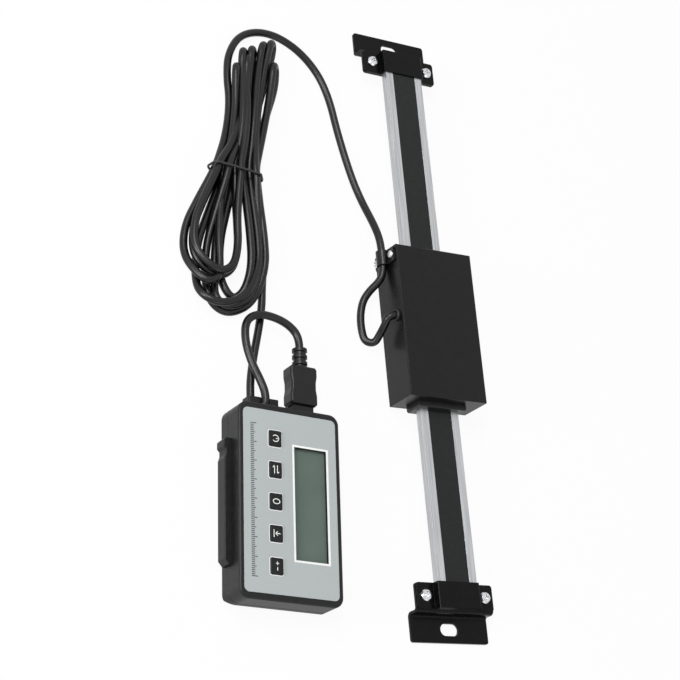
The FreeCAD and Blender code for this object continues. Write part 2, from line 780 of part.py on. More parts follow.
def saddleScrews():
    screws = []
    for i, hand in enumerate((-1, 1)):
        screw = panScrew(f"SaddleScrew{i}", 0, 0, 0, s.saddle_screw_radius - s.snug_gap,
                         s.saddle_sheet + s.head_wall - 0.2, s.saddle_screw_head,
                         s.saddle_screw_head_height)
        screw.Placement.Rotation = FreeCAD.Rotation(Vector(0, 1, 0), -90)
        place(screw, s.head_left - s.saddle_sheet, s.saddle_y,
              s.saddle_z + hand * s.saddle_screw_spacing / 2)
        screws.append(screw)
    gather("saddle_screws", screws)


# ---- display ------------------------------------------------------------------------------------

def buttonPlaces():
    return [s.button_y + i * s.button_pitch for i in (2, 1, 0, -1, -2)]


def casePosts():
    return cornerPoints(s.display_width, s.display_length, s.case_post_inset)


def railTongue(sketch, gap=0):
    # Plan of the rail's tongue between the two halves of the case.
    wall = s.display_width / 2
    depth, length = s.rail_tongue_depth, s.rail_length - 2 * s.rail_tongue_inset
    rectangle(sketch, depth + gap, length + gap, depth / 2 - wall, 0)


def frontCase():
    body = onDisplay("display_front_case")
    pad(body, "Block", "XY_Plane", s.seam_height, s.face_z,
        lambda k: roundRectangle(k, s.display_width, s.display_length, s.display_corner))
    roundEdges(body, "FaceEdge", s.face_edge, lambda e: near(e.BoundBox.ZMin, s.face_z))
    roundEdges(body, "SeamEdge", s.seam_edge, lambda e: near(e.BoundBox.ZMax, s.seam_height),
               "PartDesign::Chamfer")
    pocket(body, "Hollow", "XY_Plane", s.seam_height, s.wall_inside, lambda k: roundRectangle(
        k, s.display_width - 2 * s.display_wall, s.display_length - 2 * s.display_wall,
        s.display_corner - s.display_wall))
    pocket(body, "LabelBed", "XY_Plane", s.face_z - s.label_thickness, s.face_z,
           lambda k: roundRectangle(k, s.label_width + s.fit_gap, s.label_length + s.fit_gap,
                                    s.label_corner))
    pocket(body, "GlassOpening", "XY_Plane", s.wall_inside, s.face_z - s.label_thickness,
           lambda k: rectangle(k, s.glass_width, s.glass_length, s.glass_x, s.glass_y))
    gap = 2 * s.button_gap
    pocket(body, "ButtonOpenings", "XY_Plane", s.wall_inside, s.face_z - s.label_thickness,
           lambda k: [roundRectangle(k, s.button_width + gap, s.button_length + gap,
                                     s.button_corner + s.button_gap, s.button_x, y)
                      for y in buttonPlaces()])
    pad(body, "Posts", "XY_Plane", s.circuit_top, s.wall_inside,
        lambda k: [circle(k, s.case_post_radius, x, y) for x, y in casePosts()])
    pocket(body, "PostHoles", "XY_Plane", s.circuit_top, s.circuit_top + s.case_screw_grip + 0.2,
           lambda k: [circle(k, s.case_screw_radius, x, y) for x, y in casePosts()])
    end, gap = s.display_end, 2 * s.plug_gap
    pocket(body, "PlugOpening", "XZ_Plane", end - s.display_wall - 1, end + 1, lambda k: rectangle(
        k, s.plug_neck_width + gap, s.plug_neck_height + gap, s.plug_x, s.plug_z))
    pocket(body, "TongueNotch", "XY_Plane", s.seam_height, s.seam_height + s.rail_tongue / 2,
           lambda k: railTongue(k, s.fit_gap))
    return body


def rearCase():
    # Tray under the front half, with the cell's well and the door's undercut track.
    body = onDisplay("display_rear_case")
    pad(body, "Block", "XY_Plane", 0, s.seam_height,
        lambda k: roundRectangle(k, s.display_width, s.display_length, s.display_corner))
    roundEdges(body, "BackEdge", s.back_edge, lambda e: near(e.BoundBox.ZMax, 0))
    roundEdges(body, "SeamEdge", s.seam_edge, lambda e: near(e.BoundBox.ZMin, s.seam_height),
               "PartDesign::Chamfer")
    toe, high = s.toe_slope * (s.toe_rise + 1) - s.display_end, s.toe_rise + size(1) / s.toe_slope
    pocket(body, "Toe", "YZ_Plane", -s.display_width / 2 - 1, s.display_width / 2 + 1,
           lambda k: polygon(k, [(-s.display_end - 1, -1), (toe, -1), (-s.display_end - 1, high)]))
    floor = s.case_floor
    pocket(body, "Hollow", "XY_Plane", floor, s.seam_height, lambda k: roundRectangle(
        k, s.display_width - 2 * s.display_wall, s.display_length - 2 * s.display_wall,
        s.display_corner - s.display_wall))
    posts = casePosts()
    pad(body, "Posts", "XY_Plane", floor, s.circuit_base,
        lambda k: [circle(k, s.case_post_radius, x, y) for x, y in posts])
    pocket(body, "ScrewHoles", "XY_Plane", 0, s.circuit_base,
           lambda k: [circle(k, s.case_screw_radius + s.fit_gap, x, y) for x, y in posts])
    pocket(body, "ScrewSeats", "XY_Plane", 0, s.case_screw_seat,
           lambda k: [circle(k, s.case_screw_head + s.fit_gap, x, y) for x, y in posts])
    end = -s.display_end
    width = s.door_width + 2 * s.door_gap
    lip = width + 2 * s.door_lip
    length = s.door_length + s.door_gap
    pocket(body, "DoorTrack", "XY_Plane", 0, s.door_thickness + s.door_gap,
           lambda k: rectangle(k, width, length + 1, 0, end + (length - 1) / 2))
    trackLow = s.door_thickness - s.door_lip_height - s.door_gap
    pocket(body, "TrackUndercut", "XY_Plane", trackLow, s.door_thickness + s.door_gap,
           lambda k: rectangle(k, lip, length + 1, 0, end + (length - 1) / 2))
    pad(body, "CellRing", "XY_Plane", floor, s.cell_top + s.cell_ring,
        lambda k: circle(k, s.cell_radius + s.cell_ring, 0, s.cell_y))
    pocket(body, "CellWell", "XY_Plane", s.door_thickness + s.door_gap, s.cell_top,
           lambda k: circle(k, s.cell_radius + s.fit_gap, 0, s.cell_y))
    far = s.display_end
    low, high = s.plug_z - s.plug_neck_height / 2 - s.plug_gap, s.seam_height + 1
    pocket(body, "PlugNotch", "XZ_Plane", far - s.display_wall - 1, far + 1, lambda k: rectangle(
        k, s.plug_neck_width + 2 * s.plug_gap, high - low, s.plug_x, (high + low) / 2))
    pocket(body, "TongueNotch", "XY_Plane", s.seam_height - s.rail_tongue / 2, s.seam_height,
           lambda k: railTongue(k, s.fit_gap))
    pocket(body, "ClipHole", "XZ_Plane", far - s.display_wall - 1, far + 1,
           lambda k: circle(k, s.clip_screw_radius, s.clip_screw_x, s.clip_z))
    return body


def faceLabel():
    # Thin face plate with openings for the glass and the buttons.
    body = onDisplay("face_label")
    low = s.face_z - s.label_thickness
    pad(body, "Sheet", "XY_Plane", low, s.face_z,
        lambda k: roundRectangle(k, s.label_width, s.label_length, s.label_corner))
    border = 2 * s.glass_border + 2 * s.snug_gap
    pocket(body, "FrameOpening", "XY_Plane", low, s.face_z, lambda k: rectangle(
        k, s.glass_width + border, s.glass_length + border, s.glass_x, s.glass_y))
    gap = 2 * s.button_gap
    pocket(body, "ButtonOpenings", "XY_Plane", low, s.face_z, lambda k: [
        roundRectangle(k, s.button_width + gap, s.button_length + gap,
                       s.button_corner + s.button_gap, s.button_x, y) for y in buttonPlaces()])
    return body


def glassFrame():
    body = onDisplay("glass_frame")
    low = s.face_z - s.label_thickness
    border = 2 * s.glass_border
    pad(body, "Frame", "XY_Plane", low, s.face_z, lambda k: [
        rectangle(k, s.glass_width + border, s.glass_length + border, s.glass_x, s.glass_y),
        rectangle(k, s.glass_width, s.glass_length, s.glass_x, s.glass_y)])
    return body


def plate(label, low, high, width, length, x, y):
    body = onDisplay(label)
    pad(body, "Plate", "XY_Plane", low, high, lambda k: rectangle(k, width, length, x, y))
    return body


def glassAndPanel():
    lap = 2 * s.glass_lap
    plate("display_glass", s.glass_base, s.wall_inside, s.glass_width + lap, s.glass_length + lap,
          s.glass_x, s.glass_y)
    plate("display_panel", s.circuit_top, s.glass_base, s.glass_width + lap + 1,
          s.glass_length + lap + 2, s.glass_x, s.glass_y)


def circuitBoard():
    body = onDisplay("circuit_board")
    inside = 2 * (s.display_wall + 0.5)
    pad(body, "Board", "XY_Plane", s.circuit_base, s.circuit_top, lambda k: roundRectangle(
        k, s.display_width - inside, s.display_length - inside - 1, s.board_corner))
    pocket(body, "ScrewHoles", "XY_Plane", s.circuit_base, s.circuit_top,
           lambda k: [circle(k, s.case_screw_radius + s.fit_gap, x, y) for x, y in casePosts()])
    low, high = s.socket_end - s.socket_length - s.fit_gap, s.display_end
    pocket(body, "SocketNotch", "XY_Plane", s.circuit_base, s.circuit_top, lambda k: rectangle(
        k, s.plug_pin_width + 2 * s.socket_wall + s.fit_gap, high - low, s.plug_x, (high + low) / 2))
    return body


def dataSocket():
    # Metal shell in the board's notch, open to the plug.
    body = onDisplay("data_socket")
    end = s.socket_end
    deep = end - s.socket_length
    wall = 2 * s.socket_wall
    pad(body, "Shell", "XZ_Plane", deep, end, lambda k: rectangle(
        k, s.plug_pin_width + wall, s.plug_pin_height + wall, s.plug_x, s.plug_z))
    pocket(body, "Mouth", "XZ_Plane", deep + s.socket_wall, end, lambda k: rectangle(
        k, s.plug_pin_width + s.fit_gap, s.plug_pin_height + s.fit_gap, s.plug_x, s.plug_z))
    return body


def caseScrews():
    gather("case_screws", [caseScrew(f"CaseScrew{i}", x, y) for i, (x, y) in enumerate(casePosts())])


def caseScrew(label, x, y):
    # Turned in the display's frame, off its centre.
    body = onDisplay(label)
    seat, face = s.case_screw_seat, s.case_screw_seat - 1.4
    tip = s.circuit_top + s.case_screw_grip
    arm, slit = s.case_screw_head * 1.1, s.case_screw_head * 0.26
    pad(body, "Head", "XY_Plane", face, seat, lambda k: circle(k, s.case_screw_head, x, y))
    pad(body, "Shank", "XY_Plane", seat, tip,
        lambda k: circle(k, s.case_screw_radius - s.snug_gap, x, y))
    pocket(body, "CrossOne", "XY_Plane", face, face + 0.7, lambda k: rectangle(k, arm, slit, x, y))
    pocket(body, "CrossTwo", "XY_Plane", face, face + 0.7, lambda k: rectangle(k, slit, arm, x, y))
    return body


def button(number, y):
    # Cap with a flange under the case wall and a stem towards the board.
    body = onDisplay(f"button_{number}")
    under = s.wall_inside
    flangeLow = under - s.button_flange
    pad(body, "Flange", "XY_Plane", flangeLow, under, lambda k: rectangle(
        k, s.button_width + 2 * s.button_lip, s.button_length + 2 * s.button_lip, s.button_x, y))
    pad(body, "Cap", "XY_Plane", under, s.face_z + s.button_rise, lambda k: roundRectangle(
        k, s.button_width, s.button_length, s.button_corner, s.button_x, y))
    roundEdges(body, "CapEdge", s.button_edge, lambda e: near(e.BoundBox.ZMin, s.face_z + s.button_rise))
    stemLow = s.circuit_top + s.switch_height + s.button_travel + s.fit_gap
    pad(body, "Stem", "XY_Plane", stemLow, flangeLow,
        lambda k: circle(k, s.button_stem, s.button_x, y))
    return body


def switchPads():
    body = onDisplay("switch_pads")
    pad(body, "Pads", "XY_Plane", s.circuit_top, s.circuit_top + s.switch_height,
        lambda k: [circle(k, s.switch_radius, s.button_x, y) for y in buttonPlaces()])
    return body


def batteryDoor():
    body = onDisplay("battery_door")
    end = -s.display_end
    inset = s.toe_slope * (s.toe_rise - s.door_gap)
    length, middle = s.door_length - inset, end + (s.door_length + inset) / 2
    pad(body, "Panel", "XY_Plane", s.door_gap, s.door_thickness,
        lambda k: rectangle(k, s.door_width, length, 0, middle))
    lipLow = s.door_thickness - s.door_lip_height
    pad(body, "Lips", "XY_Plane", lipLow, s.door_thickness, lambda k: rectangle(
        k, s.door_width + 2 * s.door_lip, length, 0, middle))
    pocket(body, "Grips", "XY_Plane", s.door_gap, s.door_gap + 0.5, lambda k: [
        rectangle(k, s.door_grip_width, 1, 0, end + s.door_grip_pitch * (i + 2)) for i in range(4)])
    return body


def coinCell():
    body = onDisplay("coin_cell")
    low = s.cell_top - s.cell_thickness
    pad(body, "Can", "XY_Plane", low, s.cell_top, lambda k: circle(k, s.cell_radius, 0, s.cell_y))
    roundEdges(body, "CanEdge", s.cell_edge, lambda e: near(e.BoundBox.ZMin, low)
               and near(e.BoundBox.ZMax, low))
    return body


def sideRail():
    # Rail along the display's left side, held by a tongue between the case halves.
    body = onDisplay("side_rail")
    wall = -s.display_width / 2
    out = wall - s.rail_depth
    half = s.rail_length / 2
    neck, bump = out + s.rail_neck, half - s.rail_bump
    waist = neck - out
    outline = [
        (wall, -half), (wall, half), (neck, half), (out, half - waist), (out, bump + waist),
        (neck, bump), (neck, bump - 2 * waist), (out + waist / 3, bump - 4 * waist),
        (out + waist / 3, 2 * waist - half), (out + 2 * waist, -half),
    ]
    pad(body, "Bar", "XY_Plane", s.rail_base, s.rail_base + s.rail_height,
        lambda k: polygon(k, outline))
    roundEdges(body, "BarEdges", s.rail_edge, lambda e: e.BoundBox.ZLength < 1e-3
               and e.BoundBox.XMax < float(wall) - 0.1)
    half = s.rail_tongue / 2
    pad(body, "Tongue", "XY_Plane", s.seam_height - half, s.seam_height + half, railTongue)
    return body


# ---- plug ---------------------------------------------------------------------------------------

def plugBody():
    # Moulded grip with a waist, and a neck into the case's end.
    body = onDisplay("plug_body")
    grip = s.display_end + s.plug_neck_length
    end = grip + s.plug_length
    half, waist, corner = s.plug_width / 2, s.plug_width / 2 - s.plug_waist, s.plug_corner
    # Half widths along the grip: full at both ends, drawn in between them for the fingers.
    side = [
        (half - corner, grip), (half, grip + corner), (half, grip + 0.26 * s.plug_length),
        (waist, grip + 0.42 * s.plug_length), (waist, grip + 0.6 * s.plug_length),
        (half, grip + 0.76 * s.plug_length), (half, end - corner), (half - corner, end),
    ]
    outline = [(s.plug_x + w, y) for w, y in side] + [(s.plug_x - w, y) for w, y in side[::-1]]
    low, high = s.plug_z - s.plug_height / 2, s.plug_z + s.plug_height / 2
    pad(body, "Grip", "XY_Plane", low, high, lambda k: polygon(k, outline))
    roundEdges(body, "GripEdges", s.plug_edge, lambda e: near(e.BoundBox.ZMin, low)
               and near(e.BoundBox.ZMax, low) or near(e.BoundBox.ZMin, high))
    pad(body, "Neck", "XZ_Plane", s.plug_seat, grip, lambda k: rectangle(
        k, s.plug_neck_width, s.plug_neck_height, s.plug_x, s.plug_z))
    return body


def plugPin():
    body = onDisplay("plug_pin")
    end = s.plug_seat
    wall = 2 * s.plug_pin_wall
    pad(body, "Shell", "XZ_Plane", end - s.plug_pin_length, end, lambda k: rectangle(
        k, s.plug_pin_width, s.plug_pin_height, s.plug_x, s.plug_z))
    pocket(body, "Mouth", "XZ_Plane", end - s.plug_pin_length, end - 1.5, lambda k: rectangle(
        k, s.plug_pin_width - wall, s.plug_pin_height - wall, s.plug_x, s.plug_z))
    return body


def strainRelief():
    # Ribbed boot, turned about the lead's axis.
    body = newBody("strain_relief")
    ribs = []
    r, core = s.relief_radius, s.relief_radius - s.relief_rib
    count = int(SIZES["relief_ribs"])
    step = s.relief_length / count
    for i in range(count):
        low, high, bevel = step * (i + 0.3), step * (i + 0.95), s.relief_rib / 2
        ribs += [(core, low), (r, low + bevel), (r, high - bevel), (core, high)]
    tip = s.cord_radius + 0.5
    revolve(body, "Boot", [(0, 0), (core, 0)] + ribs + [(tip, s.relief_length), (0, s.relief_length)])
    turn = math.radians(SIZES["display_turn"])
    ahead = s.display_end + s.plug_neck_length + s.plug_length
    x = s.display_x + s.plug_x * math.cos(turn) + ahead * math.sin(turn)
    y = s.display_y - s.plug_x * math.sin(turn) + ahead * math.cos(turn)
    lay = FreeCAD.Rotation(Vector(1, 0, 0), -90)
    body.Placement.Rotation = FreeCAD.Rotation(Vector(0, 0, -1), SIZES["display_turn"]) * lay
    place(body, x, y, s.plug_z)
    return body


# ---- lead ---------------------------------------------------------------------------------------

# The lead from the head: out of the gland, down in a small loop, up under the saddle, then over to the
# far end of the hank.
HEAD_LEAD = [
    (33.7, -5.2, 18.8), (26.4, -5.2, 18.8), (25.8, -10.6, 13.6), (25.3, -13.8, 9.4), (24.0, -17.9, 5.2),
    (19.4, -16.2, 2.3), (18.0, -9.3, 2.3), (18.1, -1.0, 2.3), (19.8, 7.6, 3.6), (23.2, 13.2, 7.0),
    (27.2, 17.4, 11.4), (29.15, 23.0, 13.3), (29.15, 37.8, 13.3), (28.8, 46.0, 12.0),
    (27.5, 56.5, 8.5), (25.3, 69.0, 3.9), (20.7, 84.5, 2.3), (14.1, 111.5, 2.3), (10.4, 134.0, 2.3),
    (3.3, 150.7, 2.3), (-10.5, 163.8, 2.3), (-28.0, 169.5, 2.3), (-45.2, 164.3, 2.3),
    (-54.3, 149.6, 2.3), (-56.0, 134.0, 2.3), (-55.2, 119.0, 2.3),
]

# The rest of it: from the hank to the clip on the display's end, back over itself, and to the plug.
DISPLAY_LEAD = [
    (-43.2, 6.5, 2.3), (-44.0, -3.4, 2.3), (-46.7, -16.3, 2.3), (-51.3, -33.4, 2.3),
    (-54.2, -47.2, 2.4), (-54.9, -55.7, 2.8), (-55.4, -63.1, 3.0), (-49.6, -63.5, 8.6),
    (-49.1, -55.8, 8.8), (-51.2, -48.3, 8.0), (-55.4, -38.8, 7.3), (-58.2, -26.8, 6.9),
    (-57.2, -15.4, 6.9), (-49.8, -10.2, 7.1), (-39.9, -11.7, 8.4), (-32.1, -16.0, 9.9),
    (-27.22, -22.62, 10.6), (-27.62, -29.01, 10.6),
]


def cornerArc(before, corner, after):
    # The tangent arc at a corner, as large as its two runs allow: start, middle, end and radius.
    back, ahead = before - corner, after - corner
    turn = math.pi - back.getAngle(ahead)
    reach = 0.45 * min(back.Length, ahead.Length)
    radius = reach / math.tan(turn / 2)
    back.normalize()
    ahead.normalize()
    inward = back + ahead
    inward.normalize()
    middle = corner + inward * (radius / math.cos(turn / 2) - radius)
    return corner + back * reach, middle, corner + ahead * reach, radius


def sweep(points, radius):
    # Round tube along straight runs joined by arcs, with its path and the arcs' radii.
    points = [Vector(*p) for p in points]
    edges = []
    radii = []
    start = points[0]
    for before, corner, after in zip(points, points[1:], points[2:]):
        into, middle, out, bend = cornerArc(before, corner, after)
        edges.append(Part.LineSegment(start, into).toShape())
        edges.append(Part.Arc(into, middle, out).toShape())
        radii.append(round(bend, 1))
        start = out
    edges.append(Part.LineSegment(start, points[-1]).toShape())
    path = Part.Wire(edges)
    ring = Part.Wire(Part.makeCircle(radius, points[0], points[1] - points[0]))
    return path.makePipeShell([ring], True, False), path, radii


def cordTube(label, points, radius):
    tube, path, radii = sweep(points, radius)
    expected = math.pi * radius ** 2 * path.Length
    if abs(tube.Volume / expected - 1) > 0.01:
        raise RuntimeError(f"{label}: volume {tube.Volume:.0f}, expected {expected:.0f}")
    lowest = tube.optimalBoundingBox().ZMin
    print(label, "length", round(path.Length, 1), "lowest", round(lowest, 2), "radii", radii)
    keepShape(label, tube)


def keepShape(label, shape):
    feature = doc.addObject("Part::Feature", label)
    feature.Label = label
    feature.Shape = shape
    feature.Placement = FreeCAD.Placement()
    bodies[label] = feature
    return feature


# Outline of the hank on the table, from its folded end, past the tie, round the fanned-out loops.
HANK_OUTLINE = [
    (-23.5, 164.0), (-33.0, 162.5), (-46.5, 157.5), (-51.3, 146.0), (-51.5, 128.0), (-57.6, 112.0),
    (-62.6, 92.0), (-71.0, 71.0), (-84.2, 47.0), (-92.2, 30.0), (-89.4, 12.0), (-80.6, -2.0),
    (-70.0, -11.5), (-59.0, -10.0), (-49.0, -2.4), (-40.4, 5.6), (-38.0, 28.0), (-40.4, 54.0),
    (-39.2, 78.0), (-33.4, 106.0), (-23.2, 138.0),
]
HANK_TIE_Y = 73.0


def hank():
    # Closed outer shape of the tied turns.
    corners = [Vector(x, y, 0) for x, y in HANK_OUTLINE]
    arcs = [cornerArc(corners[i - 1], corner, corners[(i + 1) % len(corners)])
            for i, corner in enumerate(corners)]
    edges = []
    for i, (into, middle, out, bend) in enumerate(arcs):
        edges.append(Part.LineSegment(arcs[i - 1][2], into).toShape())
        edges.append(Part.Arc(into, middle, out).toShape())
    face = Part.Face(Part.Wire(edges))
    solid = face.extrude(Vector(0, 0, SIZES["hank_height"]))
    keepShape("cord_hank", solid)
    return solid


def hankTie(bundle):
    # Wire tie over the bundle, hugging its top and sides.
    width, wall, top = SIZES["tie_width"], SIZES["tie_thickness"], SIZES["hank_height"]
    slab = Part.makeBox(80, width, top, Vector(-95, HANK_TIE_Y - width / 2, 0))
    inside = slab.common(bundle).BoundBox
    outer = Part.makeBox(inside.XLength + 2 * wall, width, top + wall,
                         Vector(inside.XMin - wall, HANK_TIE_Y - width / 2, 0))
    keepShape("hank_tie", outer.cut(bundle))


def cordClip():
    # Block on the display's end that turns the lead back on itself.
    body = onDisplay("CordClipBlock")
    top = s.clip_base + s.clip_height
    wall, far = s.display_end, s.display_end + s.clip_depth
    pad(body, "Block", "XZ_Plane", wall, far,
        lambda k: rectangle(k, s.clip_width, s.clip_height, s.clip_x, s.clip_z))
    roundEdges(body, "BlockEdges", s.clip_edge,
               lambda e: e.BoundBox.YLength > 5 and near(e.BoundBox.ZMin, top))
    pocket(body, "ScrewHole", "XZ_Plane", wall, far,
           lambda k: circle(k, s.clip_screw_radius + s.fit_gap, s.clip_screw_x, s.clip_z))
    pocket(body, "ScrewSeat", "XZ_Plane", far - s.clip_screw_seat, far,
           lambda k: circle(k, s.clip_screw_head + s.fit_gap, s.clip_screw_x, s.clip_z))
    channel = doc.addObject("Part::Feature", "ClipChannel")
    channel.Shape = sweep(DISPLAY_LEAD[4:11], SIZES["cord_radius"] + SIZES["cord_clearance"])[0]
    clip = doc.addObject("Part::Cut", "cord_clip")
    clip.Label = "cord_clip"
    clip.Base = body
    clip.Tool = channel
    bodies.pop("CordClipBlock")
    bodies["cord_clip"] = clip
    doc.recompute()


def clipScrew():
    body = onDisplay("clip_screw")
    inner = s.display_end - s.display_wall - 0.5
    far = s.display_end + s.clip_depth
    seat = far - s.clip_screw_seat
    pad(body, "Shank", "XZ_Plane", inner, seat,
        lambda k: circle(k, s.clip_screw_radius - s.snug_gap, s.clip_screw_x, s.clip_z))
    pad(body, "Head", "XZ_Plane", seat, far - 0.6,
        lambda k: circle(k, s.clip_screw_head, s.clip_screw_x, s.clip_z))
    return body


# ---- assembly -----------------------------------------------------------------------------------

beam()
scaleStrip()
for side, way in (("near", -1), ("far", 1)):
    endPlug(side, way)
    footBracket(side, way)
    endStrap(side, way)
    bracketScrews(side, way)

headBackPlate()
headCover()
headScrews()
slideCarriage()
gibStrip()
sensorBoard()
cableGland()
cordSaddle()
saddleScrews()

frontCase()
rearCase()
faceLabel()
glassFrame()
glassAndPanel()
circuitBoard()
dataSocket()
caseScrews()
for number, y in enumerate(buttonPlaces(), start=1):
    button(number, y)
switchPads()
batteryDoor()
coinCell()
sideRail()

plugBody()
plugPin()
strainRelief()
cordTube("head_lead", HEAD_LEAD, SIZES["cord_radius"])
cordTube("display_lead", DISPLAY_LEAD, SIZES["cord_radius"])
hankTie(hank())
cordClip()
clipScrew()

doc.recompute()
for thing in doc.Objects:
    if "Invalid" in thing.State or "Error" in thing.State:
        raise RuntimeError(f"{thing.Name} failed: {thing.State}")
whole = FreeCAD.BoundBox()
for label, body in bodies.items():
    shape = body.Shape
    if shape.isNull() or not shape.isValid():
        raise RuntimeError(f"{label} has no valid shape")
    whole.add(shape.BoundBox)
    shape.exportStep(f"parts/{label}.step")
print(len(bodies), "pieces, overall", whole)
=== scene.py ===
import math

import bmesh
import bpy
from mathutils import Matrix, Vector


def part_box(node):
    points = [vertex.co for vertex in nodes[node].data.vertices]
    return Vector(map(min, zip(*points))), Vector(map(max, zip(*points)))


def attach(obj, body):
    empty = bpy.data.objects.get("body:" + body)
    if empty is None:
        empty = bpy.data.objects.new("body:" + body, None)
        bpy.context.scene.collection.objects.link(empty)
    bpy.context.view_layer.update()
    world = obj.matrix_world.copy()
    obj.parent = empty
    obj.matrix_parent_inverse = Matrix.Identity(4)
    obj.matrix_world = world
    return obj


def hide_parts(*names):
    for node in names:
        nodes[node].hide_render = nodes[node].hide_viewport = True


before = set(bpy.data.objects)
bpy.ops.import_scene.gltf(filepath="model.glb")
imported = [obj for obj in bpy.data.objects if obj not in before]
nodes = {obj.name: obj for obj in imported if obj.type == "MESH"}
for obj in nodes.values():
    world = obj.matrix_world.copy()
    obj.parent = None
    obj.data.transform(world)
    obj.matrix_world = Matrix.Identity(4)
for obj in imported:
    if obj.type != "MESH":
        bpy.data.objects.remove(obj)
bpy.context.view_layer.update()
mm = 0.001
print("frame loaded,", len(nodes), "nodes")


# camera: above the near left corner, looking along the beam
cameraSetup = {
    "place": (-0.47564045, -0.35690835, 0.76676401),
    "turn": (23.431106, -30.203981, -5.410507),
    "lens": 93.163,
    "sensor": 36.0,
    "clip": (0.01, 20.0),
}


def makeCamera(setup):
    data = bpy.data.cameras.new("camera")
    data.lens = setup["lens"]
    data.sensor_width = setup["sensor"]
    data.clip_start, data.clip_end = setup["clip"]
    camera = bpy.data.objects.new("camera", data)
    camera.location = setup["place"]
    camera.rotation_euler = [math.radians(angle) for angle in setup["turn"]]
    bpy.context.scene.collection.objects.link(camera)
    bpy.context.scene.camera = camera


makeCamera(cameraSetup)
print("camera placed")


# lead: out of the head, round the hank, into the plug; lengths in mm
lead = {
    "diameter": 4.4,
    "exit": (29.2, -5.2, 18.8),
    "length": 2.88,        # in m
    "low": 2.3,            # height of a strand on the floor
    "second": 6.2,         # height of a strand that lies on another
    "tieY": 73.0,
    "tieHalf": 4.0,        # strands run straight this far to each side of the tie
    "tieSlope": 4.6,       # their lean there, for a loop as wide as it is long
    "neck": (-50.3, 90.0),
    "squeeze": 0.88,       # the bundle's width at the neck against its width elsewhere
    "farY": 113.0,         # half way to the tips
    "stemBack": 13.0,      # from a tip back to its stem, where its two sides come together
    "stemShare": 0.7,      # the stem's place across, from half way (0) to the tip (1)
    "stemLift": 1.0,
    "stemClose": 0.4,      # how much nearer the two sides are there than at the tip
    "peak": 9.2,           # height of the standing tips
    "lean": 5.2,           # from the way out to the way back at a tip
    "leanAtFar": 0.25,     # share of that lean half way to the tip
    "outletX": -46.4,
    "outletLift": 0.4,     # of the last strand, over the low ones at the tie
    "hankRight": -30.0,    # the hank lies to the left of this
    "fromHead": [
        (33.7, -5.2, 18.8), (26.4, -5.2, 18.8), (25.8, -10.6, 13.6), (25.3, -13.8, 9.4),
        (24.0, -17.9, 5.2), (19.4, -16.2, 2.3), (18.0, -9.3, 2.3), (18.1, -1.0, 2.3),
        (19.8, 7.6, 3.6), (23.2, 13.2, 7.0), (27.2, 17.4, 11.4), (29.15, 23.0, 13.3),
        (29.15, 37.8, 13.3), (28.8, 46.0, 12.0), (27.5, 56.5, 8.5), (25.3, 69.0, 3.9),
        (20.7, 84.5, 2.3), (14.1, 111.5, 2.3), (10.4, 134.0, 2.3), (3.3, 150.7, 2.3),
        (-10.5, 163.8, 2.3), (-28.0, 169.5, 2.3), (-45.2, 164.3, 2.3), (-54.3, 149.6, 2.3),
        (-56.0, 134.0, 2.3), (-55.2, 119.0, 2.3), (-58.6, 98.5, 2.3),
    ],
    "toDisplay": [
        (-41.4, 56.0, 2.3), (-40.2, 38.0, 2.3), (-41.4, 20.0, 2.3),
        (-43.2, 6.5, 2.3), (-44.0, -3.4, 2.3), (-46.7, -16.3, 2.3), (-51.3, -33.4, 2.3),
        (-54.2, -47.2, 2.4), (-54.9, -55.7, 2.8), (-55.4, -63.1, 3.0), (-49.6, -63.5, 8.6),
        (-49.1, -55.8, 8.8), (-51.2, -48.3, 8.0), (-55.4, -38.8, 7.3), (-58.2, -26.8, 6.9),
        (-57.2, -15.4, 6.9), (-49.8, -10.2, 7.1), (-39.9, -11.7, 8.4), (-32.1, -16.0, 9.9),
        (-27.22, -22.62, 10.6), (-27.62, -29.01, 10.6),
    ],
}

# one row per turn of the hank: x and height at the tie going down, widest point on the left, foot,
# widest point on the right, x and height at the tie going up, far tip, x half way to the tip
turns = [
    dict(down=(-69.4, 6.2), left=(-89.3, 26.0, 2.3), foot=(-79.5, 3.0, 10.0),
         right=(-71.0, 18.6, 8.0), up=(-64.6, 6.4), tip=(-53.4, 139.6), far=-53.8, rise=0.0),
    dict(down=(-66.4, 2.6), left=(-84.9, 27.3, 4.9), foot=(-72.1, 8.1, 6.5),
         right=(-57.6, 32.8, 4.6), up=(-57.4, 6.6), tip=(-48.4, 150.4), far=-50.6, rise=3.6),
    dict(down=(-68.8, 10.0), left=(-85.8, 28.7, 8.6), foot=(-72.2, 9.2, 11.0),
         right=(-60.0, 32.3, 9.6), up=(-55.6, 10.6), tip=(-45.6, 146.5), far=-48.4, rise=4.4),
    dict(down=(-62.4, 2.6), left=(-82.8, 12.9, 2.3), foot=(-72.6, -9.2, 10.6),
         right=(-47.4, 23.1, 7.8), up=(-48.2, 6.5), tip=(-34.9, 157.3), far=-43.6, rise=3.5),
    dict(down=(-58.6, 2.8), left=(-71.7, 14.1, 3.1), foot=(-66.5, -9.1, 6.8),
         right=(-44.2, 24.7, 5.2), up=(-46.4, 10.4), tip=(-29.6, 159.4), far=-40.4, rise=0.0),
    dict(down=(-54.9, 2.8), left=(-68.2, 17.7, 2.3), foot=(-61.2, -2.2, 3.1),
         right=(-52.2, 22.8, 9.0), up=(-52.6, 6.9), tip=(-42.6, 152.8), far=-47.0, rise=1.1),
    dict(down=(-62.9, 10.4), left=(-76.9, 12.5, 2.3), foot=(-65.2, -11.1, 2.5),
         right=(-42.4, 23.0, 6.4), up=(-43.9, 6.6), tip=(-29.0, 144.9), far=-34.2, rise=0.0),
]

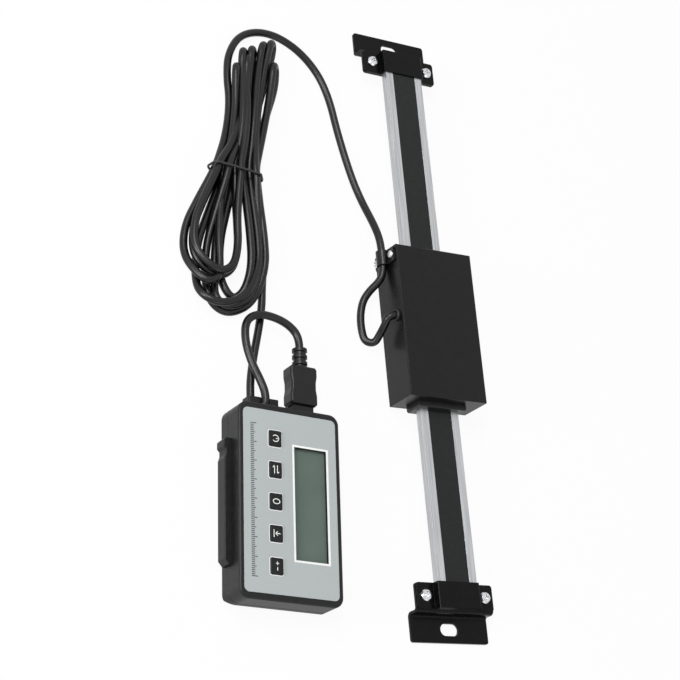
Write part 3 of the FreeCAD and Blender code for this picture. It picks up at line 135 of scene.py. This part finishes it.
# the open loop of a turn on the display's side of the tie, from one named point towards another:
# shares of the way across, along and up, and a shift across as a share of the loop's width
loopShape = [
    ("down", "left", (0.52, 0.42, 0.5), 0.0),
    ("down", "left", (0.92, 0.76, 1.0), 0.0),
    ("down", "left", (1.0, 1.12, 1.0), -0.02),
    ("foot", "left", (0.0, 0.2, 0.3), -0.27),
    ("foot", "right", (0.0, 0.0, 0.0), 0.02),
    ("foot", "right", (0.5, 0.22, 0.4), 0.1),
    ("up", "right", (1.0, 1.12, 1.0), 0.01),
    ("right", "up", (0.0, 0.25, 0.0), 0.02),
    ("right", "up", (0.55, 0.65, 0.5), 0.0),
]


def loopPoints(turn):
    named = dict(turn)
    for side in ("down", "up"):
        x, z = turn[side]
        named[side] = (x, lead["tieY"], z)
    width = turn["right"][0] - turn["left"][0]
    points = []
    for start, end, shares, shift in loopShape:
        x, y, z = (a + share * (b - a) for a, b, share in zip(named[start], named[end], shares))
        points.append((x + shift * width, y, z))
    return points


def tiePoints(strand, widest):
    # just beyond and just before the tie, leaning towards the loop's widest point
    x, z = strand
    slope = lead["tieSlope"] * (x - widest[0]) / (lead["tieY"] - widest[1])
    beyond = (x + slope, lead["tieY"] + lead["tieHalf"], z)
    before = (x - slope, lead["tieY"] - lead["tieHalf"], z)
    return [beyond, before]


def neckPoint(farX, farZ, strand):
    # the bundle is narrowest a little beyond the tie
    middle, y = lead["neck"]
    x = middle + lead["squeeze"] * (0.5 * (farX + strand[0]) - middle)
    return (x, y, 0.5 * (farZ + strand[1]))


def tipPoints(turn, nextDown):
    # out to the standing tip on top of the others, and back beside it on the floor
    tipX, tipY = turn["tip"]
    low, lean, farY = lead["low"], lead["lean"], lead["farY"]
    outX, outZ = turn["far"], lead["second"] + turn["rise"]
    backX, backZ = turn["far"] + lead["leanAtFar"] * lean, low + turn["rise"]
    stemX = lead["stemShare"] * tipX + (1 - lead["stemShare"]) * outX
    stemY = tipY - lead["stemBack"]
    return [
        neckPoint(outX, outZ, turn["up"]),
        (outX, farY, outZ),
        (stemX, stemY, lead["second"] + lead["stemLift"]),
        (tipX, tipY, lead["peak"]),
        (tipX + lean, tipY, low),
        (stemX + lean - lead["stemClose"], stemY, low),
        (backX, farY, backZ),
        neckPoint(backX, backZ, nextDown),
    ]


def leadRoute():
    outlet = (lead["outletX"], lead["low"] + lead["outletLift"])
    nextDowns = [turn["down"] for turn in turns[1:]] + [outlet]
    points = list(lead["fromHead"])
    for turn, nextDown in zip(turns, nextDowns):
        points += tiePoints(turn["down"], turn["left"])
        points += loopPoints(turn)
        points += reversed(tiePoints(turn["up"], turn["right"]))
        points += tipPoints(turn, nextDown)
    straightOn = (lead["outletX"], 0.0)
    points += tiePoints(outlet, straightOn)
    return points + lead["toDisplay"]


def curveThrough(name, points, radius, steps=8, sides=5):
    curve = bpy.data.curves.new(name, "CURVE")
    curve.dimensions = "3D"
    spline = curve.splines.new("NURBS")
    spline.points.add(len(points) - 1)
    for point, place in zip(spline.points, points):
        point.co = (place[0] * mm, place[1] * mm, place[2] * mm, 1.0)
    spline.order_u = 3
    spline.use_endpoint_u = True
    curve.resolution_u = steps
    curve.bevel_depth = radius * mm
    curve.bevel_resolution = sides
    curve.use_fill_caps = True
    piece = bpy.data.objects.new(name, curve)
    bpy.context.scene.collection.objects.link(piece)
    return piece


def centreLine(piece):
    # the smooth line of a curve, without its thickness
    bare = piece.copy()
    bare.data = piece.data.copy()
    bare.data.bevel_depth = 0.0
    bpy.context.scene.collection.objects.link(bare)
    bpy.context.view_layer.update()
    shown = bare.evaluated_get(bpy.context.evaluated_depsgraph_get())
    line = bpy.data.meshes.new_from_object(shown)
    points = [v.co.copy() for v in line.vertices]
    bpy.data.meshes.remove(line)
    bpy.data.objects.remove(bare)
    return points


leadPiece = curveThrough("lead_cord", leadRoute(), lead["diameter"] / 2)
leadLine = centreLine(leadPiece)
leadLength = sum((b - a).length for a, b in zip(leadLine, leadLine[1:]))
print("lead laid,", round(leadLength, 3), "m")


# wire tie round the hank
tie = {
    "wire": 1.3,
    "y": 71.8,
    "slant": -0.13,
    "gap": 0.1,            # to the strands and to the floor
    "loopSteps": 48,
    "startAngle": -36.0,   # in degrees, where the two ends leave the loop
    "tailSteps": 22,
    "twistTurns": 2.5,
    "twistLength": 11.0,
    "twistRadius": 0.55,
    "twistOpens": 0.25,    # share of the tail over which the twist reaches its full width
    "tailOut": 0.5,
    "tailSway": 0.9,
    "tailDrop": 1.2,
}


def strandsAt(y):
    found = []
    for a, b in zip(leadLine, leadLine[1:]):
        if (a.y - y) * (b.y - y) < 0 and a.x < lead["hankRight"] * mm:
            point = a.lerp(b, (y - a.y) / (b.y - a.y))
            found.append((point.x / mm, point.z / mm))
    return found


def overFloor(x, y, z):
    # the wire stays clear of what the part lies on
    return (x, y, max(z, 0.5 * tie["wire"] + tie["gap"]))


def tieLoop(strands):
    # a loop hugging the bundle's outermost strands
    reach = lead["diameter"] / 2 + tie["wire"] / 2 + tie["gap"]
    middle = 0.5 * (min(x for x, z in strands) + max(x for x, z in strands))
    loop = []
    for i in range(tie["loopSteps"]):
        angle = math.radians(tie["startAngle"] + 360 * i / tie["loopSteps"])
        c, s = math.cos(angle), math.sin(angle)
        x, z = max(strands, key=lambda strand: strand[0] * c + strand[1] * s)
        x += reach * c
        loop.append(overFloor(x, tie["y"] + tie["slant"] * (x - middle), z + reach * s))
    return loop


def tieTails(start):
    # the wire's two ends, twisted round each other away from the loop
    one, other = [], []
    for i in range(tie["tailSteps"] + 1):
        along = i / tie["tailSteps"]
        angle = 2 * math.pi * tie["twistTurns"] * along
        spread = tie["twistRadius"] * min(1.0, along / tie["twistOpens"])
        x = start[0] + tie["tailOut"] + tie["tailSway"] * math.sin(math.pi * along)
        y = start[1] + tie["twistLength"] * along
        z = start[2] - tie["tailDrop"] * along
        dx, dz = spread * math.cos(angle), spread * math.sin(angle)
        one.append(overFloor(x + dx, y, z + dz))
        other.append(overFloor(x - dx, y, z - dz))
    return one, other


def makeTie():
    loop = tieLoop(strandsAt(tie["y"] * mm))
    one, other = tieTails(loop[0])
    points = one[::-1] + loop[1:] + [loop[0]] + other[1:]
    return curveThrough("hank_wire_tie", points, tie["wire"] / 2, steps=3, sides=3)


tiePiece = makeTie()
print("tie wound round", len(strandsAt(tie["y"] * mm)), "strands")


def tone(red, green, blue):
    # 0-255 levels as the linear colour that a shader takes
    levels = [v / 255 for v in (red, green, blue)]
    return [v / 12.92 if v <= 0.04045 else ((v + 0.055) / 1.055) ** 2.4 for v in levels] + [1.0]


# what all finishes share: the colour ramp's ends, the noises' detail and the range of the grain
texture = {
    "rampEnds": (0.36, 0.64),
    "patchDetail": 4.0,
    "grainDetail": 3.0,
    "grainRange": (0.3, 0.7),
    "edgeSamples": 4,
}


def addNoise(tree, where, scale, detail):
    noise = tree.nodes.new("ShaderNodeTexNoise")
    noise.inputs["Scale"].default_value = scale
    noise.inputs["Detail"].default_value = detail
    tree.links.new(where.outputs["Vector"], noise.inputs["Vector"])
    return noise


def newFinish(name, dark, light, rough, metallic=0.0, specular=0.5, alpha=1.0, patch=300.0,
              grain=3000.0, height=0.01, roughSpread=0.06, stretch=(1, 1, 1), edge=0.12):
    # colour drifts between two tones in patches, a fine grain drives roughness and bump, and
    # edges catch the light over a small radius
    finish = bpy.data.materials.new(name)
    finish.use_nodes = True
    tree = finish.node_tree
    shader = tree.nodes["Principled BSDF"]
    shader.inputs["Metallic"].default_value = metallic
    shader.inputs["Specular IOR Level"].default_value = specular
    shader.inputs["Alpha"].default_value = alpha
    where = tree.nodes.new("ShaderNodeTexCoord")
    scaled = tree.nodes.new("ShaderNodeMapping")
    scaled.inputs["Scale"].default_value = stretch
    tree.links.new(where.outputs["Object"], scaled.inputs["Vector"])

    patches = addNoise(tree, scaled, patch, texture["patchDetail"])
    ramp = tree.nodes.new("ShaderNodeValToRGB")
    for end, place, colour in zip(ramp.color_ramp.elements, texture["rampEnds"], (dark, light)):
        end.position = place
        end.color = tone(*colour)
    tree.links.new(patches.outputs["Fac"], ramp.inputs["Fac"])
    tree.links.new(ramp.outputs["Color"], shader.inputs["Base Color"])

    grains = addNoise(tree, scaled, grain, texture["grainDetail"])
    spread = tree.nodes.new("ShaderNodeMapRange")
    lowest, highest = texture["grainRange"]
    spread.inputs["From Min"].default_value = lowest
    spread.inputs["From Max"].default_value = highest
    spread.inputs["To Min"].default_value = rough - roughSpread
    spread.inputs["To Max"].default_value = rough + roughSpread
    tree.links.new(grains.outputs["Fac"], spread.inputs["Value"])
    tree.links.new(spread.outputs["Result"], shader.inputs["Roughness"])

    softEdge = tree.nodes.new("ShaderNodeBevel")
    softEdge.samples = texture["edgeSamples"]
    softEdge.inputs["Radius"].default_value = edge * mm
    bump = tree.nodes.new("ShaderNodeBump")
    bump.inputs["Distance"].default_value = height * mm
    tree.links.new(softEdge.outputs["Normal"], bump.inputs["Normal"])
    tree.links.new(grains.outputs["Fac"], bump.inputs["Height"])
    tree.links.new(bump.outputs["Normal"], shader.inputs["Normal"])
    return finish


finishes = {
    "headPaint": newFinish("headPaint", (8, 8, 9), (13, 13, 14), 0.3, specular=0.22,
                           grain=2600.0, height=0.012, edge=0.7),
    "carriageMetal": newFinish("carriageMetal", (22, 22, 23), (30, 30, 31), 0.36, specular=0.4,
                               stretch=(1, 0.06, 1), grain=4000.0, height=0.006),
    "beamMetal": newFinish("beamMetal", (172, 173, 176), (196, 197, 199), 0.36, metallic=0.85,
                           stretch=(1, 0.02, 1), patch=1500.0, grain=6000.0, height=0.004),
    "stripFilm": newFinish("stripFilm", (13, 14, 15), (19, 20, 21), 0.36, specular=0.26,
                           grain=2000.0, height=0.004),
    "footPaint": newFinish("footPaint", (4, 4, 5), (8, 8, 9), 0.22, specular=0.13,
                           grain=700.0, height=0.02, edge=0.35),
    "brightSteel": newFinish("brightSteel", (196, 197, 200), (224, 225, 227), 0.2, metallic=1.0,
                             patch=900.0, grain=5000.0, height=0.003),
    "darkSteel": newFinish("darkSteel", (60, 60, 62), (78, 78, 80), 0.34, metallic=1.0,
                           patch=900.0, grain=5000.0, height=0.003),
    "saddlePaint": newFinish("saddlePaint", (11, 11, 12), (17, 17, 18), 0.26, specular=0.34,
                             grain=2600.0, height=0.01),
    "casePlastic": newFinish("casePlastic", (12, 12, 13), (19, 20, 20), 0.42, specular=0.28,
                             grain=2300.0, height=0.045),
    "faceFilm": newFinish("faceFilm", (166, 172, 172), (174, 180, 180), 0.42, specular=0.45,
                          grain=7000.0, height=0.002, patch=5000.0),
    "frameFilm": newFinish("frameFilm", (232, 234, 232), (240, 242, 240), 0.45, specular=0.4),
    "windowGlass": newFinish("windowGlass", (120, 132, 126), (128, 140, 134), 0.1, alpha=0.2,
                             patch=60.0, grain=500.0, height=0.001, roughSpread=0.02),
    "panelGrey": newFinish("panelGrey", (98, 116, 107), (104, 122, 113), 0.55, specular=0.3,
                           patch=70.0, grain=4000.0, height=0.002),
    "boardGreen": newFinish("boardGreen", (18, 62, 40), (26, 78, 50), 0.4, patch=600.0),
    "buttonRubber": newFinish("buttonRubber", (12, 13, 14), (18, 19, 20), 0.46, specular=0.25,
                              grain=2500.0, height=0.02),
    "padCarbon": newFinish("padCarbon", (30, 30, 30), (40, 40, 40), 0.7, specular=0.2),
    "socketSteel": newFinish("socketSteel", (168, 168, 170), (190, 190, 192), 0.3, metallic=1.0,
                             patch=900.0),
    "cellSteel": newFinish("cellSteel", (186, 187, 188), (206, 207, 208), 0.3, metallic=1.0,
                           patch=700.0, stretch=(1, 0.1, 1)),
    "gibBrass": newFinish("gibBrass", (176, 142, 78), (198, 162, 92), 0.34, metallic=1.0,
                          patch=700.0, stretch=(1, 0.05, 1)),
    "cordJacket": newFinish("cordJacket", (6, 6, 7), (10, 10, 11), 0.32, specular=0.36,
                            patch=250.0, grain=1800.0, height=0.006, roughSpread=0.03),
    "tieWire": newFinish("tieWire", (26, 26, 27), (36, 36, 37), 0.4, specular=0.45),
    "plugPlastic": newFinish("plugPlastic", (11, 11, 12), (17, 17, 18), 0.34, specular=0.3,
                             grain=1800.0, height=0.03),
    "glandRubber": newFinish("glandRubber", (22, 22, 23), (30, 30, 31), 0.55, specular=0.35),
    "whiteInk": newFinish("whiteInk", (236, 238, 236), (244, 245, 244), 0.5, specular=0.35),
    "darkInk": newFinish("darkInk", (38, 41, 43), (48, 51, 53), 0.5, specular=0.35),
}

nodeFinishes = {
    "headPaint": ["head_cover", "head_back_plate"],
    "carriageMetal": ["slide_carriage"],
    "beamMetal": ["beam"],
    "stripFilm": ["scale_strip"],
    "footPaint": ["foot_bracket_near", "foot_bracket_far", "end_strap_near", "end_strap_far"],
    "brightSteel": ["bracket_screws_near", "bracket_screws_far", "saddle_screws"],
    "darkSteel": ["head_screws", "clip_screw", "case_screws"],
    "saddlePaint": ["cord_saddle"],
    "casePlastic": ["display_front_case", "display_rear_case", "battery_door", "side_rail",
                    "cord_clip", "end_plug_near", "end_plug_far"],
    "faceFilm": ["face_label"],
    "frameFilm": ["glass_frame"],
    "windowGlass": ["display_glass"],
    "panelGrey": ["display_panel"],
    "boardGreen": ["circuit_board", "sensor_board"],
    "buttonRubber": ["button_1", "button_2", "button_3", "button_4", "button_5"],
    "padCarbon": ["switch_pads"],
    "socketSteel": ["data_socket", "plug_pin"],
    "cellSteel": ["coin_cell"],
    "gibBrass": ["gib_strip"],
    "cordJacket": ["head_lead", "display_lead", "cord_hank"],
    "tieWire": ["hank_tie"],
    "plugPlastic": ["plug_body", "strain_relief"],
    "glandRubber": ["cable_gland"],
}


def paint(piece, finish):
    slots = piece.data.materials
    if len(slots):
        for i in range(len(slots)):
            slots[i] = finishes[finish]
    else:
        slots.append(finishes[finish])


for finish, names in nodeFinishes.items():
    for name in names:
        paint(nodes[name], finish)
paint(leadPiece, "cordJacket")
paint(tiePiece, "tieWire")
print("finishes on", sum(len(n) for n in nodeFinishes.values()), "nodes")

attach(leadPiece, "reader")
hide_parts("head_lead", "display_lead", "cord_hank")
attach(tiePiece, "reader")
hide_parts("hank_tie")


# print on the display's face: borders round the buttons, marks on them, a plain rule; in mm from
# the display's middle
facePrint = {
    "turn": -3.5,
    "centre": (-45.4, -118.3),
    "thickness": 0.04,
    "sink": 0.01,          # how deep the marks sit in the buttons' tops
    "buttonWidth": 7.2,
    "buttonLength": 8.6,
    "buttonCorner": 1.0,
    "borderGap": 0.1,
    "border": 0.42,
    "markLine": 0.42,
    "ruleX": -22.8,
    "ruleFirst": -40.0,
    "ruleLast": 40.0,
    "ruleStep": 1.0,
    "ticks": ((10, 3.4), (5, 2.7), (1, 1.9)),    # every so many steps, a tick this long
    "tickWidth": 0.42,
}


def topOf(node):
    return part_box(node)[1].z / mm


def roundCorners(width, length, corner, steps=5):
    points = []
    for quarter, (sx, sy) in enumerate([(1, 1), (-1, 1), (-1, -1), (1, -1)]):
        cx, cy = sx * (width / 2 - corner), sy * (length / 2 - corner)
        for i in range(steps + 1):
            angle = math.pi / 2 * (quarter + i / steps)
            points.append((cx + corner * math.cos(angle), cy + corner * math.sin(angle)))
    return points


def prism(mesh, rings, low, high):
    # closed thin plate between an outer and an optional inner outline
    levels = []
    for ring in rings:
        levels.append([[mesh.verts.new((x, y, z)) for x, y in ring] for z in (low, high)])
    outer = levels[0]
    count = len(outer[0])
    if len(rings) == 1:
        mesh.faces.new(outer[0][::-1])
        mesh.faces.new(outer[1])
    else:
        inner = levels[1]
        for i in range(count):
            j = (i + 1) % count
            mesh.faces.new((outer[1][i], outer[1][j], inner[1][j], inner[1][i]))
            mesh.faces.new((outer[0][j], outer[0][i], inner[0][i], inner[0][j]))
            mesh.faces.new((inner[0][j], inner[0][i], inner[1][i], inner[1][j]))
    for i in range(count):
        j = (i + 1) % count
        mesh.faces.new((outer[0][i], outer[0][j], outer[1][j], outer[1][i]))


def stroke(mesh, line, width, low, high):
    # a ribbon of even width along a drawn line
    left, right = [], []
    for i, (x, y) in enumerate(line):
        before = line[max(i - 1, 0)]
        after = line[min(i + 1, len(line) - 1)]
        way = Vector((after[0] - before[0], after[1] - before[1])).normalized() * (width / 2)
        left.append((x - way.y, y + way.x))
        right.append((x + way.y, y - way.x))
    prism(mesh, [right + left[::-1]], low, high)


def finishMesh(name, mesh, place, finish, body):
    bmesh.ops.recalc_face_normals(mesh, faces=mesh.faces)
    mesh.transform(Matrix.Scale(mm, 4))
    mesh.transform(place)
    data = bpy.data.meshes.new(name)
    mesh.to_mesh(data)
    mesh.free()
    piece = bpy.data.objects.new(name, data)
    bpy.context.scene.collection.objects.link(piece)
    paint(piece, finish)
    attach(piece, body)


def onDisplay():
    # from the display's own middle to the frame
    x, y = facePrint["centre"]
    move = Matrix.Translation((x * mm, y * mm, 0))
    return move @ Matrix.Rotation(math.radians(facePrint["turn"]), 4, "Z")


def ringLine(radius, start, stop, steps=20):
    points = []
    for i in range(steps + 1):
        angle = math.radians(start + (stop - start) * i / steps)
        points.append((radius * math.cos(angle), radius * math.sin(angle)))
    return points


# the lines of each mark in mm, drawn upright
buttonMarks = {
    1: [ringLine(1.75, -55, 235), [(0, 0.2), (0, 2.2)]],
    2: [[(-2.2, 0.8), (2.0, 0.8)], [(1.1, 1.7), (2.1, 0.8)], [(2.2, -0.9), (-2.0, -0.9)],
        [(-1.1, -1.8), (-2.1, -0.9)]],
    3: [[(1.25 * x, 1.9 * y) for x, y in ringLine(1.0, 0, 360, 24)]],
    4: [[(-2.0, -1.7), (2.0, -1.7)], [(0, 1.9), (0, -0.6)], [(-1.1, 0.4), (0, -0.8)],
        [(1.1, 0.4), (0, -0.8)]],
    5: [[(-2.3, 0), (-0.5, 0)], [(-1.4, 0.9), (-1.4, -0.9)], [(0.6, 0), (2.3, 0)]],
}


def buttonMiddle(node):
    # seen from the display's own middle, before its turn
    corner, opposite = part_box(node)
    unturned = Matrix.Rotation(math.radians(-facePrint["turn"]), 4, "Z")
    return unturned @ ((corner + opposite) / 2 / mm - Vector((*facePrint["centre"], 0)))


def printBorder(mesh, middle, low, high):
    rings = []
    for grow in (facePrint["borderGap"] + facePrint["border"], facePrint["borderGap"]):
        corner = facePrint["buttonCorner"] + grow - facePrint["borderGap"]
        ring = roundCorners(facePrint["buttonWidth"] + 2 * grow,
                            facePrint["buttonLength"] + 2 * grow, corner)
        rings.append([(x + middle.x, y + middle.y) for x, y in ring])
    prism(mesh, rings, low, high)


def printMark(number, middle):
    mesh = bmesh.new()
    button = f"button_{number}"
    top = topOf(button)
    for line in buttonMarks[number]:
        # marks run towards the near end, their tops towards the window
        turned = [(y + middle.x, -x + middle.y) for x, y in line]
        stroke(mesh, turned, facePrint["markLine"], top - facePrint["sink"],
               top + facePrint["thickness"])
    finishMesh(f"button_mark_{number}", mesh, onDisplay(), "whiteInk", button)


def printFace():
    low = topOf("face_label")
    borders = bmesh.new()
    for number in buttonMarks:
        middle = buttonMiddle(f"button_{number}")
        printBorder(borders, middle, low, low + facePrint["thickness"])
        printMark(number, middle)
    finishMesh("button_borders", borders, onDisplay(), "whiteInk", "reader")


def printRule():
    low = topOf("face_label")
    first, last, step = facePrint["ruleFirst"], facePrint["ruleLast"], facePrint["ruleStep"]
    x = facePrint["ruleX"]
    mesh = bmesh.new()
    for i in range(round((last - first) / step) + 1):
        y = last - i * step
        long = next(size for every, size in facePrint["ticks"] if i % every == 0)
        stroke(mesh, [(x, y), (x + long, y)], facePrint["tickWidth"], low,
               low + facePrint["thickness"])
    finishMesh("face_rule", mesh, onDisplay(), "darkInk", "reader")


printFace()
printRule()
print("face printed")


# floor, world and lamps
studio = {
    "floorSize": 6.0,
    "floorDrop": 0.0002,
    "floorWhite": 0.8,
    "floorRough": 0.9,
    "floorSpecular": 0.1,
    "floorShare": 0.94,    # of plain white in the seen floor, the rest is the lit floor
    "worldLevel": 0.36,
    "lamps": {
        "left_softbox": dict(place=(-1.3, -0.1, 0.6), size=(0.4, 0.9), watts=14.0),
        "top_softbox": dict(place=(-0.75, 0.5, 1.45), size=(0.7, 0.7), watts=15.0),
        "near_softbox": dict(place=(0.1, -1.5, 0.8), size=(1.2, 0.9), watts=4.0),
    },
}


def whiteRays(tree):
    # one for rays that should meet plain white: seen, mirrored or looked through
    path = tree.nodes.new("ShaderNodeLightPath")
    white = path.outputs["Is Camera Ray"]
    for kind in ("Is Glossy Ray", "Is Transmission Ray"):
        either = tree.nodes.new("ShaderNodeMath")
        either.operation = "MAXIMUM"
        tree.links.new(white, either.inputs[0])
        tree.links.new(path.outputs[kind], either.inputs[1])
        white = either.outputs[0]
    return white


def makeFloor():
    data = bpy.data.meshes.new("floor")
    mesh = bmesh.new()
    bmesh.ops.create_grid(mesh, x_segments=1, y_segments=1, size=studio["floorSize"] / 2)
    mesh.to_mesh(data)
    mesh.free()
    floor = bpy.data.objects.new("floor", data)
    floor.location.z = -studio["floorDrop"]
    bpy.context.scene.collection.objects.link(floor)
    card = bpy.data.materials.new("floorCard")
    card.use_nodes = True
    tree = card.node_tree
    shader = tree.nodes["Principled BSDF"]
    white = studio["floorWhite"]
    shader.inputs["Base Color"].default_value = (white, white, white, 1.0)
    shader.inputs["Roughness"].default_value = studio["floorRough"]
    shader.inputs["Specular IOR Level"].default_value = studio["floorSpecular"]
    glow = tree.nodes.new("ShaderNodeEmission")
    glow.inputs["Color"].default_value = (1.0, 1.0, 1.0, 1.0)
    glow.inputs["Strength"].default_value = 1.0
    share = tree.nodes.new("ShaderNodeMath")
    share.operation = "MULTIPLY"
    share.inputs[1].default_value = studio["floorShare"]
    tree.links.new(whiteRays(tree), share.inputs[0])
    mix = tree.nodes.new("ShaderNodeMixShader")
    tree.links.new(share.outputs[0], mix.inputs["Fac"])
    tree.links.new(shader.outputs["BSDF"], mix.inputs[1])
    tree.links.new(glow.outputs["Emission"], mix.inputs[2])
    tree.links.new(mix.outputs["Shader"], tree.nodes["Material Output"].inputs["Surface"])
    data.materials.append(card)


def makeWorld():
    world = bpy.data.worlds.new("studio")
    bpy.context.scene.world = world
    world.use_nodes = True
    tree = world.node_tree
    level = tree.nodes.new("ShaderNodeMapRange")
    level.inputs["To Min"].default_value = studio["worldLevel"]
    level.inputs["To Max"].default_value = 1.0
    tree.links.new(whiteRays(tree), level.inputs["Value"])
    tree.nodes["Background"].inputs["Color"].default_value = (1.0, 1.0, 1.0, 1.0)
    tree.links.new(level.outputs["Result"], tree.nodes["Background"].inputs["Strength"])


def makeLamps():
    # each lamp faces the middle of the floor
    for name, lamp in studio["lamps"].items():
        data = bpy.data.lights.new(name, "AREA")
        data.shape = "RECTANGLE"
        data.size, data.size_y = lamp["size"]
        data.energy = lamp["watts"]
        light = bpy.data.objects.new(name, data)
        light.location = lamp["place"]
        light.rotation_mode = "QUATERNION"
        light.rotation_quaternion = (-light.location).to_track_quat("-Z", "Y")
        bpy.context.scene.collection.objects.link(light)


makeFloor()
makeWorld()
makeLamps()
bpy.context.scene.view_settings.view_transform = "Standard"
print("studio set")
